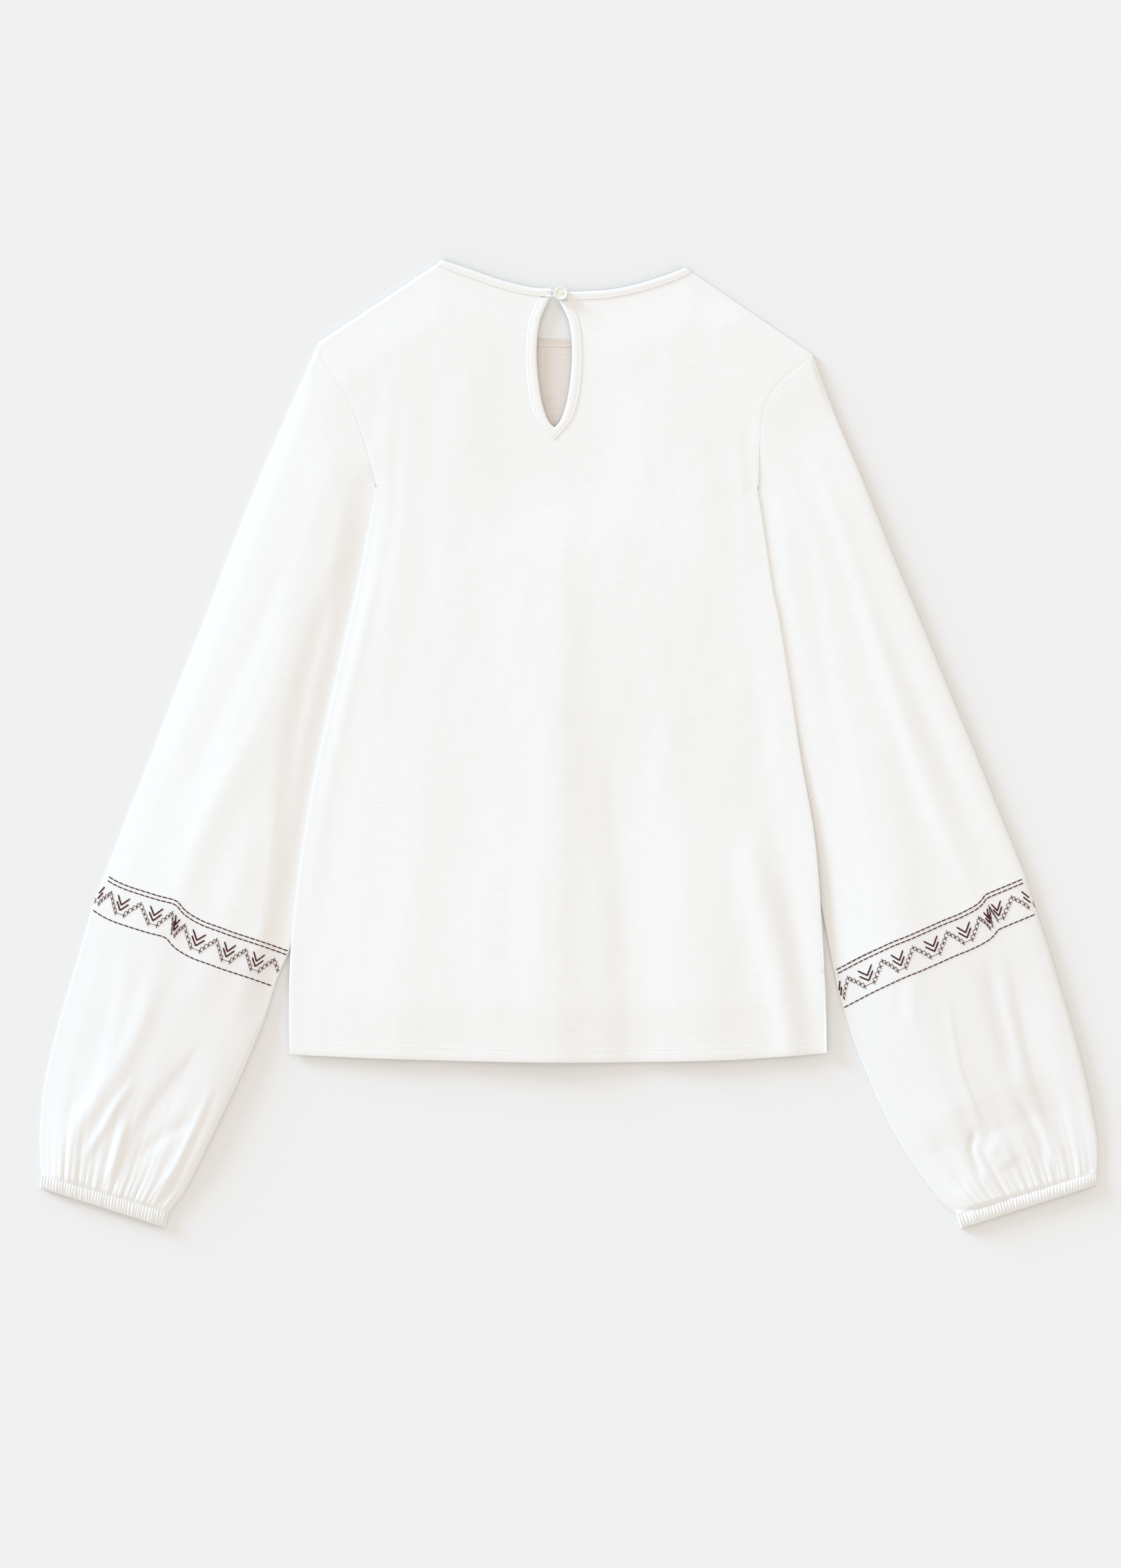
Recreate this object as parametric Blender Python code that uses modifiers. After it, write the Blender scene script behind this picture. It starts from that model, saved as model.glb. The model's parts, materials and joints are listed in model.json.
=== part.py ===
"""A long-sleeved jersey top, laid flat on a surface with its back upwards.

The body is a front and a back panel. The back panel is wider than the front: it folds under at each
side and laps onto the front panel's edge, and the sleeves run out from under those folds. Each sleeve
is an upper tube, a fuller lower tube gathered at its end, and a ribbed elastic cuff. The back has a
keyhole slit with a bound edge, closed at the neck by a button in a thread loop.

X runs across the garment, Y up towards the neck and Z up from the surface it lies on. The tables below
are in millimetres from the middle of the body.
"""

import math

import bmesh
import bpy
from mathutils import Vector

MM = 0.001

# Driving dimensions
WALL = 1.2
SEAM = 0.3
NECK_BINDING_WIDTH = 6.0
CUFF_RIBS = 45
CUFF_RIB_HEIGHT = 0.7
LAP = 6.0
BODY_CENTRE = (-8.8, -0.5)

# Heights above the surface: two layers at an edge, the back's middle and the keyhole's surround,
# and what a folded side measures from its underside to its top
EDGE_TOP = 2 * WALL + SEAM
BACK_MIDDLE = 4.2
KEYHOLE_TOP = 3.4
FOLD_THICKNESS = 3.3
OVER_SLEEVE_TOP = EDGE_TOP + 0.4 + FOLD_THICKNESS
LAP_UNDERSIDE = WALL + SEAM
SLEEVE_EDGE_RADIUS = EDGE_TOP / 2

# How many points a sleeve has across its upper and its lower layer at the armhole, how many of the
# upper ones lie above the side fold, and how many rows each part has along it
ARM_TOPS = 17
ARM_BOTTOMS = 8
SHOWN_SEAM_POINTS = 11
SLEEVE_ROWS = 12
FOLD_ROWS = 11

NECK_POINT = {"left": (-85.3, 364.5), "right": (95.7, 358.8)}
CENTRE_X = -2.0

# The neck edges from the left to the right, x and y
BACK_NECK_LEFT = [(-85.3, 364.5), (-64.0, 357.2), (-41.6, 349.4), (-19.8, 344.2), (-4.8, 343.2)]
BACK_NECK_RIGHT = [(-0.5, 341.0), (13.5, 340.9), (38.0, 342.2), (60.3, 346.6), (82.7, 353.6), (95.7, 358.8)]
FRONT_NECK = [
    (-85.3, 364.5), (-79.0, 344.0), (-63.0, 324.0), (-36.0, 309.5),
    (-2.0, 305.2), (34.0, 308.5), (64.0, 320.5), (86.0, 338.5), (95.7, 358.8),
]

# The armhole seams from the shoulder tip to the underarm, x and y
ARMHOLE = {
    "left": [
        (-179.9, 301.6), (-174.5, 286.0), (-165.9, 273.8), (-155.0, 254.8),
        (-146.9, 233.0), (-140.5, 212.0), (-136.2, 194.0), (-132.0, 160.0), (-130.0, 119.6),
    ],
    "right": [
        (192.9, 292.8), (179.4, 283.4), (168.5, 273.8), (160.4, 262.9), (155.5, 250.0),
        (152.4, 224.0), (151.3, 194.0), (144.0, 155.0), (136.0, 119.6),
    ],
}

# The body's side folds from the armhole to the hem: y, x of the fold and the height of its top
SIDE = {
    "left": [
        (160.0, -142.0, 6.4), (119.6, -150.0, 6.4), (93.6, -156.0, 6.4), (41.6, -168.0, 6.4),
        (-10.4, -179.4, 6.4), (-62.4, -189.3, 6.4), (-114.4, -196.6, 6.3), (-153.4, -200.4, 6.0),
        (-190.0, -201.6, 5.4), (-232.8, -201.8, 4.9),
    ],
    "right": [
        (160.0, 156.0, 6.4), (119.6, 162.0, 6.4), (93.6, 167.4, 6.4), (41.6, 175.8, 6.4),
        (-10.4, 183.6, 6.4), (-62.4, 192.9, 6.4), (-102.4, 197.0, 6.2), (-150.0, 200.0, 5.7),
        (-190.0, 201.6, 5.2), (-231.8, 202.3, 4.9),
    ],
}
HEM = [(-201.8, -232.8), (-120.0, -236.2), (0.0, -238.7), (120.0, -237.2), (202.3, -231.8)]

# Soft folds of the back panel, a row for each: x and y where it starts, x and y where it ends,
# half its width and its height
BACK_FOLDS = [
    (2.0, 200.0, -6.0, -238.0, 48.0, 1.4),
    (62.0, 285.0, 138.0, 110.0, 24.0, 1.2),
    (-112.0, 270.0, -132.0, 90.0, 16.0, 0.9),
    (-95.0, 60.0, -128.0, -238.0, 34.0, 0.7),
    (96.0, 20.0, 112.0, -238.0, 30.0, 1.0),
]

# The sleeves from the shoulder to the cuff: x and y of the outer and of the inner edge,
# and the height of the cloth at its crown
SLEEVE_UPPER = {
    "left": [
        (-179.9, 301.6, -130.0, 119.6, 4.4), (-202.8, 249.6, -137.0, 84.0, 5.2),
        (-225.2, 197.6, -145.5, 44.0, 5.6), (-246.0, 145.6, -155.0, 4.0, 5.8),
        (-265.7, 93.6, -165.5, -36.0, 6.0), (-286.5, 41.6, -176.5, -76.0, 6.2),
        (-306.3, -10.4, -188.5, -116.0, 6.2), (-323.0, -52.0, -196.5, -140.0, 6.2),
        (-339.6, -95.7, -201.8, -157.0, 6.2),
    ],
    "right": [
        (192.9, 292.8, 136.0, 119.6, 4.4), (209.0, 249.6, 144.0, 86.0, 5.2),
        (230.9, 197.6, 151.5, 52.0, 5.6), (251.7, 145.6, 160.0, 14.0, 5.8),
        (273.5, 93.6, 170.0, -24.0, 6.0), (294.8, 41.6, 182.0, -64.0, 6.2),
        (316.7, -10.4, 194.5, -102.4, 6.2), (335.0, -56.0, 201.6, -136.0, 6.2),
        (352.4, -98.3, 208.0, -169.0, 6.2),
    ],
}
SLEEVE_LOWER = {
    "left": [
        (-339.6, -95.7, -201.8, -157.0, 6.2), (-348.4, -118.0, -211.0, -178.0, 6.2),
        (-358.4, -153.0, -220.6, -208.0, 6.4), (-368.8, -188.0, -235.6, -244.0, 6.6),
        (-379.0, -224.0, -250.6, -276.0, 6.6), (-386.2, -258.0, -265.4, -307.0, 6.4),
        (-389.4, -292.0, -279.0, -334.0, 5.8), (-389.2, -310.0, -286.5, -344.5, 5.2),
        (-388.4, -324.6, -292.4, -352.6, 4.4),
    ],
    "right": [
        (352.4, -98.3, 208.0, -169.0, 6.2), (358.4, -118.0, 213.0, -190.0, 6.2),
        (370.0, -153.0, 223.8, -224.0, 6.4), (380.5, -188.0, 237.8, -258.0, 6.6),
        (391.0, -224.0, 253.4, -291.0, 6.6), (399.5, -258.0, 270.0, -318.0, 6.4),
        (406.0, -292.0, 286.0, -340.0, 5.8), (407.2, -309.0, 294.0, -348.6, 5.2),
        (406.8, -322.2, 300.6, -353.8, 4.4),
    ],
}

# The cuffs, a row for their upper and for their lower edge: x and y at the outer and at the inner end
CUFF = {
    "left": [(-388.4, -324.9, -292.5, -352.9), (-389.2, -333.4, -294.8, -363.4)],
    "right": [(406.7, -322.5, 300.6, -354.1), (406.2, -331.2, 304.0, -364.0)],
}
CUFF_CROWN = 4.0

# Long soft folds of the sleeves: where across the sleeve each starts and ends, from 0 at the outer
# edge to 1 at the inner one, where along the part it starts and ends, half its width and its height
UPPER_FOLDS = {
    "left": [
        (0.16, 0.14, -0.1, 1.2, 12.0, 1.5), (0.36, 0.46, 0.0, 1.2, 14.0, 1.4), (0.62, 0.74, 0.3, 1.2, 12.0, 0.9),
    ],
    "right": [
        (0.26, 0.22, -0.1, 1.2, 11.0, 1.7), (0.50, 0.47, 0.1, 1.2, 15.0, 1.1), (0.70, 0.68, 0.2, 1.2, 10.0, 0.9),
    ],
}
LOWER_FOLDS = {
    "left": [
        (0.14, 0.10, -0.2, 0.9, 12.0, 1.6), (0.46, 0.28, -0.2, 0.95, 14.0, 1.9),
        (0.60, 0.52, 0.2, 1.0, 9.0, 1.8), (0.74, 0.74, -0.2, 0.9, 10.0, 1.5), (0.90, 0.86, 0.2, 1.0, 6.0, 1.3),
    ],
    "right": [
        (0.22, 0.10, -0.2, 0.95, 12.0, 1.8), (0.36, 0.26, 0.2, 1.0, 8.0, 1.7), (0.47, 0.42, -0.2, 1.0, 9.0, 1.9),
        (0.67, 0.58, -0.2, 0.95, 12.0, 1.9), (0.80, 0.80, 0.0, 0.85, 10.0, 1.2),
    ],
}
GATHERS = 16
GATHER_DEPTH = 0.9

# The keyhole slit, a row for each level: y, half the slit and half the outside of its binding.
# Its right side starts lower, under the lower end of the neck binding.
KEYHOLE = [
    (336.6, 3.4, 11.2), (330.0, 6.6, 14.4), (320.0, 10.7, 18.2), (308.0, 12.9, 20.3), (292.0, 13.5, 21.0),
    (276.0, 12.4, 20.2), (260.0, 10.0, 18.0), (247.5, 6.4, 14.4), (241.5, 3.2, 10.8),
]
KEYHOLE_FOOT = (238.6, 229.4)
RIGHT_SIDE_DROP = 2.3

# The button and its loop
BUTTON_CENTRE = (2.8, 339.5)
BUTTON_RADIUS = 5.0
BUTTON_THICKNESS = 2.2
BUTTON_HOLE_RADIUS = 0.75
BUTTON_HOLE_SPACING = 3.0
BUTTON_RIM = 0.9
BUTTON_DISH = 0.5
SHANK_RADIUS = 0.9
LOOP_RADIUS = 0.45
LOOP_START_X = -8.5
LOOP_SPREAD = 0.5

# Colours and finishes: linear RGB and roughness
FINISHES = {
    "jersey": ((0.90, 0.89, 0.87), 0.85),
    "poplin": ((0.88, 0.87, 0.86), 0.75),
    "binding": ((0.92, 0.92, 0.90), 0.80),
    "pearl": ((0.80, 0.79, 0.74), 0.25),
    "thread": ((0.85, 0.84, 0.80), 0.70),
}


def clear_scene():
    for obj in list(bpy.data.objects):
        bpy.data.objects.remove(obj, do_unlink=True)


def new_collection(name):
    collection = bpy.data.collections.new(name)
    bpy.context.scene.collection.children.link(collection)
    return collection


def material(name):
    found = bpy.data.materials.get(name)
    if found:
        return found
    colour, roughness = FINISHES[name]
    made = bpy.data.materials.new(name)
    made.use_nodes = True
    shader = made.node_tree.nodes["Principled BSDF"]
    shader.inputs["Base Color"].default_value = (*colour, 1.0)
    shader.inputs["Roughness"].default_value = roughness
    shader.inputs["Metallic"].default_value = 0.0
    return made


def place(name, data, finish, collection):
    """An object of that mesh or curve, with its material, in the collection."""
    obj = bpy.data.objects.new(name, data)
    data.materials.append(material(finish))
    collection.objects.link(obj)
    return obj


def inwards(side):
    """The direction along X from a side towards the middle of the body."""
    return 1.0 if side == "left" else -1.0


def smoothstep(value):
    value = min(1.0, max(0.0, value))
    return value * value * (3.0 - 2.0 * value)


def mix(a, b, share):
    return a + (b - a) * share


def through(points, steps):
    """A smooth curve through the points, with that many steps for each stretch between two of them."""
    padded = [points[0], *points, points[-1]]
    curve = []
    for before, start, end, after in zip(padded, padded[1:], padded[2:], padded[3:]):
        for k in range(steps):
            t = k / steps
            curve.append(tuple(
                0.5 * (2 * b + (c - a) * t + (2 * a - 5 * b + 4 * c - d) * t**2 + (3 * b - a - 3 * c + d) * t**3)
                for a, b, c, d in zip(before, start, end, after)
            ))
    return [*curve, tuple(points[-1])]


def lengths_along(points):
    total = [0.0]
    for a, b in zip(points, points[1:]):
        total.append(total[-1] + math.dist(a[:2], b[:2]))
    return total


def at_share(points, share):
    """The point that lies this share of the way along a line of points."""
    total = lengths_along(points)
    goal = min(1.0, max(0.0, share)) * total[-1]
    for k in range(1, len(points)):
        if goal <= total[k]:
            part = (goal - total[k - 1]) / max(total[k] - total[k - 1], 1e-9)
            return tuple(mix(a, b, part) for a, b in zip(points[k - 1], points[k]))
    return tuple(points[-1])


def at_level(line, y, column):
    """A column of a line of points that falls in y, its second column, read at any level."""
    if y >= line[0][1]:
        return line[0][column]
    for high, low in zip(line, line[1:]):
        if y >= low[1]:
            return mix(high[column], low[column], (high[1] - y) / max(high[1] - low[1], 1e-9))
    return line[-1][column]


def offset_line(points, distance):
    """The line moved to its left, seen along its direction, by the distance."""
    moved = []
    for k, point in enumerate(points):
        before = Vector(points[max(0, k - 1)][:2])
        after = Vector(points[min(len(points) - 1, k + 1)][:2])
        along = (after - before).normalized()
        moved.append((point[0] - along.y * distance, point[1] + along.x * distance))
    return moved


def skin(name, rows, closed_rows=False, closed_columns=False, capped=False):
    """A mesh of quads over rows of points that all have the same number of points, facing outwards."""
    shape = bmesh.new()
    grid = [[shape.verts.new(Vector(point) * MM) for point in row] for row in rows]
    row_pairs = list(zip(grid, grid[1:]))
    if closed_rows:
        row_pairs.append((grid[-1], grid[0]))
    for upper, lower in row_pairs:
        count = len(upper) if closed_columns else len(upper) - 1
        for k in range(count):
            following = (k + 1) % len(upper)
            shape.faces.new((upper[k], upper[following], lower[following], lower[k]))
    if capped:
        bmesh.ops.holes_fill(shape, edges=[edge for edge in shape.edges if edge.is_boundary], sides=0)
    bmesh.ops.recalc_face_normals(shape, faces=shape.faces)
    mesh = bpy.data.meshes.new(name)
    shape.to_mesh(mesh)
    shape.free()
    return mesh


def seam_point(side, share, into_body):
    """A point beside the armhole seam, this far from it towards the body."""
    seam = through(ARMHOLE[side], 2)
    point = Vector(at_share(seam, share))
    along = (Vector(at_share(seam, share + 0.01)) - Vector(at_share(seam, share - 0.01))).normalized()
    across = Vector((along.y, -along.x))
    if across.x * inwards(side) < 0:
        across = -across
    moved = point + across * into_body
    return (moved.x, moved.y)


def layer_shares(width, count):
    """Where across a flattened tube the points of one layer lie: its two rounded edges, and between."""
    edge = SLEEVE_EDGE_RADIUS / width
    return [mix(edge, 1.0 - edge, k / (count + 1)) for k in range(count + 2)]


def armhole_width(side):
    return math.dist(ARMHOLE[side][0], ARMHOLE[side][-1])


def edges_of(stations):
    """The smooth outer and inner edge of a sleeve part."""
    outer = through([row[0:2] for row in stations], 2)
    inner = through([row[2:4] for row in stations], 2)
    return outer, inner


def row_shares(setback):
    """Where along a sleeve part its rows lie; the first and the last stand back from the seams."""
    return [mix(setback, 1.0 - setback, j / SLEEVE_ROWS) for j in range(SLEEVE_ROWS + 1)]


UPPER_SETBACK = 0.0005
LOWER_SETBACK = 0.0009


def sleeve_inner_ends(side):
    """The ends of the upper sleeve's rows on its inner edge, from the underarm down."""
    _, inner = edges_of(SLEEVE_UPPER[side])
    return [at_share(inner, share) for share in row_shares(UPPER_SETBACK)]


def fold_line(side):
    """The body's side fold from the armhole to the hem: x, y and the height of its top."""
    start = seam_point(side, shown_shares(side)[-1], SEAM / 2)
    rows = [(start[0], start[1], OVER_SLEEVE_TOP)]
    rows += [(x, y, top) for y, x, top in SIDE[side]]
    return through(rows, 2)


def shown_shares(side):
    """The shares of the armhole seam, above the side fold, at which the sleeve and the body have points."""
    return [0.0, *layer_shares(armhole_width(side), ARM_TOPS)[:SHOWN_SEAM_POINTS + 1]]


def sleeve_edge_x(side, y):
    """The x of the sleeve's edge under the body at a level, which is the armhole seam above the underarm."""
    if y > ARMHOLE[side][-1][1]:
        return at_level(through(ARMHOLE[side], 2), y, 0)
    return at_level(sleeve_inner_ends(side), y, 0)


def tabulated(function, levels):
    """A line of points of a function of y, so that it need not be worked out again."""
    return [(function(y), y) for y in levels]


def level_tables():
    """The fold line of each side and the sleeve edge beneath it."""
    levels = [220.0 - 5.0 * k for k in range(95)]
    tables = {}
    for side in ("left", "right"):
        edge = tabulated(lambda y, side=side: sleeve_edge_x(side, y), levels)
        tables[side] = (fold_line(side), edge)
    return tables


LEVELS = level_tables()


def ridge(x, y, fold):
    """The height that one fold of the back panel adds at a point."""
    x0, y0, x1, y1, half_width, height = fold
    start, end, point = Vector((x0, y0)), Vector((x1, y1)), Vector((x, y))
    run = end - start
    share = (point - start).dot(run) / run.length_squared
    off = (point - start.lerp(end, share)).length
    fade = smoothstep(share / 0.3 + 0.5) * smoothstep((1.15 - share) / 0.3 + 0.5)
    return height * math.exp(-((off / half_width) ** 2)) * fade


def shoulder_direction(side):
    return (Vector(ARMHOLE[side][0]) - Vector(NECK_POINT[side])).normalized()


def shoulder_line(side):
    """The panels' shoulder edge from the neck binding to the shoulder tip."""
    start = Vector(NECK_POINT[side]) + shoulder_direction(side) * (NECK_BINDING_WIDTH + SEAM)
    end = Vector(seam_point(side, 0.0, SEAM / 2))
    return [tuple(start.lerp(end, k / 3)) for k in range(4)]


def binding_widths(edge, first, last):
    """The directions across a binding at each point of its edge, turned to the given ones at its ends."""
    found = []
    for k in range(len(edge)):
        before = Vector(edge[max(0, k - 1)])
        after = Vector(edge[min(len(edge) - 1, k + 1)])
        along = (after - before).normalized()
        across = Vector((along.y, -along.x))
        share = k / (len(edge) - 1)
        across = across.lerp(first, 1.0 - smoothstep(share / 0.25))
        across = across.lerp(last, smoothstep((share - 0.75) / 0.25))
        found.append(across.normalized())
    return found


def back_neck_runs():
    """The two back stretches of the neck edge, each with the directions across its binding."""
    left, right = through(BACK_NECK_LEFT, 2), through(BACK_NECK_RIGHT, 2)
    down = Vector((0.0, -1.0))
    return (
        (left, binding_widths(left, shoulder_direction("left"), down)),
        (right, binding_widths(right, down, shoulder_direction("right"))),
    )


def front_neck_run():
    edge = through(FRONT_NECK, 2)
    return edge, binding_widths(edge, shoulder_direction("left"), shoulder_direction("right"))


def inside_binding(edge, widths):
    """The line where a panel starts, under the binding along the edge."""
    reach = NECK_BINDING_WIDTH + SEAM
    return [(p[0] + w.x * reach, p[1] + w.y * reach) for p, w in zip(edge, widths)]


def panel_top(neck_lines):
    """A panel's upper edge from shoulder tip to shoulder tip, round the neck."""
    neck = [point for line in neck_lines for point in line]
    return [*shoulder_line("left")[::-1], *neck[1:-1], *shoulder_line("right")]


def back_top_edge():
    return panel_top([inside_binding(*run) for run in back_neck_runs()])


TOP_EDGE = back_top_edge()


def top_edge_y(x):
    """The y of the back panel's shoulder and neck edge above a given x."""
    for a, b in zip(TOP_EDGE, TOP_EDGE[1:]):
        if a[0] <= x <= b[0]:
            return mix(a[1], b[1], (x - a[0]) / max(b[0] - a[0], 1e-9))
    return TOP_EDGE[0][1] if x < TOP_EDGE[0][0] else TOP_EDGE[-1][1]


def side_height(side, x, y, middle):
    """The back panel's height near one of its sides, where it lies over the sleeve and its own fold."""
    fold, edge = LEVELS[side]
    start_y = fold[0][1]
    from_edge = (x - at_level(fold, y, 0)) * inwards(side)
    if y > start_y:
        seam_height = mix(OVER_SLEEVE_TOP, middle, smoothstep((y - start_y) / 45.0))
        return mix(seam_height, middle, smoothstep(from_edge / 30.0))
    overlap = (at_level(edge, y, 0) - at_level(fold, y, 0)) * inwards(side)
    reach = max(2.0, overlap) + LAP + 2.0
    return mix(at_level(fold, y, 2), middle, smoothstep((from_edge - reach) / 26.0))


def back_height(x, y):
    """The height of the back panel's upper face."""
    height = BACK_MIDDLE + sum(ridge(x, y, fold) for fold in BACK_FOLDS)
    height = side_height("left" if x < CENTRE_X else "right", x, y, height)
    beside_slit = 1.0 - smoothstep((abs(x - CENTRE_X) - 24.0) / 20.0)
    level_with_slit = smoothstep((y - KEYHOLE_FOOT[1] + 60.0) / 40.0)
    height = mix(height, KEYHOLE_TOP, beside_slit * level_with_slit)
    return mix(EDGE_TOP, height, smoothstep((top_edge_y(x) - y) / 34.0))


def back_side(side):
    """The upper layer's side: down the armhole, then beside the fold to the hem."""
    seam = [seam_point(side, share, SEAM / 2) for share in shown_shares(side)]
    fold = LEVELS[side][0]
    points = [at_share(fold, k / FOLD_ROWS) for k in range(FOLD_ROWS + 1)]
    inset = inwards(side) * FOLD_THICKNESS / 2
    return seam[:-1] + [(x + inset, y) for x, y, _ in points]


def side_fold_points(side, start):
    """The points of the rounded fold and of the strip beneath it, from the upper layer's edge inwards."""
    radius = FOLD_THICKNESS / 2
    x, y, top = start
    inward = inwards(side)
    points = []
    for degrees in (45, 90, 135, 180):
        turn = math.radians(degrees)
        points.append((x - inward * radius * math.sin(turn), y, top - radius + radius * math.cos(turn)))
    edge_x = at_level(LEVELS[side][1], y, 0)
    reach = max(inward * (edge_x - x) + 0.8, 1.0)
    points.append((x + inward * reach, y, top - FOLD_THICKNESS))
    points.append((x + inward * (reach + LAP), y, LAP_UNDERSIDE))
    return points


def back_panel(collection):
    """One sheet: the upper layer as a patch between its four edges, and at each side a rounded fold
    that returns beneath it over the sleeve and laps onto the front panel."""
    left_side, right_side = back_side("left"), back_side("right")
    corners = (left_side[-1], right_side[-1])
    inner_hem = [point for point in through(HEM, 4) if corners[0][0] < point[0] < corners[1][0]]
    hem = [corners[0], *inner_hem, corners[1]]
    top_shares = [length / lengths_along(TOP_EDGE)[-1] for length in lengths_along(TOP_EDGE)]
    tips = (TOP_EDGE[0], TOP_EDGE[-1])
    rows = []
    for left, right in zip(left_side, right_side):
        v = (left_side[0][1] - left[1]) / (left_side[0][1] - corners[0][1])
        row = []
        for upper, u in zip(TOP_EDGE, top_shares):
            lower = at_share(hem, u)
            point = []
            for axis in (0, 1):
                left_shift = left[axis] - mix(tips[0][axis], corners[0][axis], v)
                right_shift = right[axis] - mix(tips[1][axis], corners[1][axis], v)
                point.append(mix(upper[axis], lower[axis], v) + mix(left_shift, right_shift, u))
            row.append((*point, back_height(*point)))
        rows.append(row)
    mesh = skin("back_panel", rows)
    shape = bmesh.new()
    shape.from_mesh(mesh)
    grid = list(shape.verts)
    width = len(TOP_EDGE)
    first_fold_row = len(left_side) - FOLD_ROWS - 1
    for side, column in (("left", 0), ("right", width - 1)):
        previous = [grid[j * width + column] for j in range(first_fold_row, len(left_side))]
        strips = [side_fold_points(side, vert.co / MM) for vert in previous]
        for across in zip(*strips):
            current = [shape.verts.new(Vector(point) * MM) for point in across]
            for a, b, c, d in zip(previous, previous[1:], current[1:], current):
                shape.faces.new((a, b, c, d))
            previous = current
    bmesh.ops.recalc_face_normals(shape, faces=shape.faces)
    if min(shape.faces, key=lambda face: face.calc_center_median().length).normal.z < 0:
        bmesh.ops.reverse_faces(shape, faces=shape.faces)
    shape.to_mesh(mesh)
    shape.free()
    panel = place("back_panel", mesh, "jersey", collection)
    thickness = panel.modifiers.new("wall", "SOLIDIFY")
    thickness.thickness = WALL * MM
    thickness.offset = -1.0
    thickness.use_even_offset = True
    return panel


def prism_cutter(name, outline, low, high, collection):
    """A closed block with that outline, for cutting."""
    sides = [[(x, y, z) for x, y in outline] for z in (low, high)]
    cutter = bpy.data.objects.new(name, skin(name, sides, closed_columns=True, capped=True))
    collection.objects.link(cutter)
    cutter.hide_render = True
    cutter.display_type = "WIRE"
    return cutter


def cut(obj, cutter):
    modifier = obj.modifiers.new(cutter.name, "BOOLEAN")
    modifier.operation = "DIFFERENCE"
    modifier.solver = "EXACT"
    modifier.object = cutter


def keyhole_sides():
    """The inner and the outer edge of the keyhole's binding, down its left side and up its right."""
    lines = []
    for column, foot in ((1, KEYHOLE_FOOT[0]), (2, KEYHOLE_FOOT[1])):
        left = through([(CENTRE_X - row[column], row[0]) for row in KEYHOLE], 2)
        top, dropping = KEYHOLE[0][0], KEYHOLE[2][0]
        right = []
        for x, y in reversed(left):
            drop = RIGHT_SIDE_DROP * max(0.0, (y - dropping) / (top - dropping))
            right.append((2 * CENTRE_X - x, y - drop))
        lines.append([*left, (CENTRE_X, foot), *right])
    return lines


def cut_keyhole(panel, collection):
    """Opens the back panel from its neck edge down to the foot of the keyhole's binding."""
    _, outer = keyhole_sides()
    outline = offset_line(outer, -SEAM)
    above = 20.0
    outline.insert(0, (outline[0][0], outline[0][1] + above))
    outline.append((outline[-1][0], outline[-1][1] + above))
    cut(panel, prism_cutter("keyhole_cutter", outline, -5.0, 15.0, collection))


def front_side(side):
    """The front panel's side from the shoulder tip down the armhole and the hidden side seam."""
    inward = inwards(side)
    shares = [0.0, *layer_shares(armhole_width(side), ARM_BOTTOMS)]
    points = [seam_point(side, share, SEAM / 2) for share in shares]
    fold = LEVELS[side][0]
    ends = sleeve_inner_ends(side)
    levels = [y for _, y in ends if y > SIDE[side][-4][0]] + [row[0] for row in SIDE[side][-3:]]
    for y in levels:
        under_sleeve = at_level(ends, y, 0) + inward * SEAM
        under_fold = at_level(fold, y, 0) + inward * 0.7
        points.append((inward * max(inward * under_sleeve, inward * under_fold), y))
    return points


def front_panel(collection):
    """A flat sheet on the surface, from the shoulder edges and armholes down to the hem."""
    top = panel_top([inside_binding(*front_neck_run())])
    left, right = front_side("left"), front_side("right")
    hem = [point for point in through(HEM, 2)[1:-1]]
    outline = [*top[1:-1], *right, *hem[::-1], *left[::-1]]
    curve = bpy.data.curves.new("front_panel", "CURVE")
    curve.dimensions = "2D"
    curve.fill_mode = "BOTH"
    curve.extrude = WALL / 2 * MM
    spline = curve.splines.new("POLY")
    spline.points.add(len(outline) - 1)
    for point, (x, y) in zip(spline.points, outline):
        point.co = (x * MM, y * MM, 0.0, 1.0)
    spline.use_cyclic_u = True
    panel = place("front_panel", curve, "jersey", collection)
    panel.location.z = WALL / 2 * MM
    return panel


def tape(name, stations):
    """A flat tape with rounded long edges, from stations of centre, half width vector and half thickness
    vector, closed at both ends."""
    rim = 0.35
    rows = []
    for centre, half_width, half_thick in stations:
        inset = half_width * (1.0 - 0.9 * half_thick.length / half_width.length)
        row = []
        for across, through_wall in (
            (half_width, rim), (inset, 1.0), (-inset, 1.0), (-half_width, rim),
            (-half_width, -rim), (-inset, -1.0), (inset, -1.0), (half_width, -rim),
        ):
            row.append(centre + across + half_thick * through_wall)
        rows.append(row)
    return skin(name, rows, closed_columns=True, capped=True)


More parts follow.
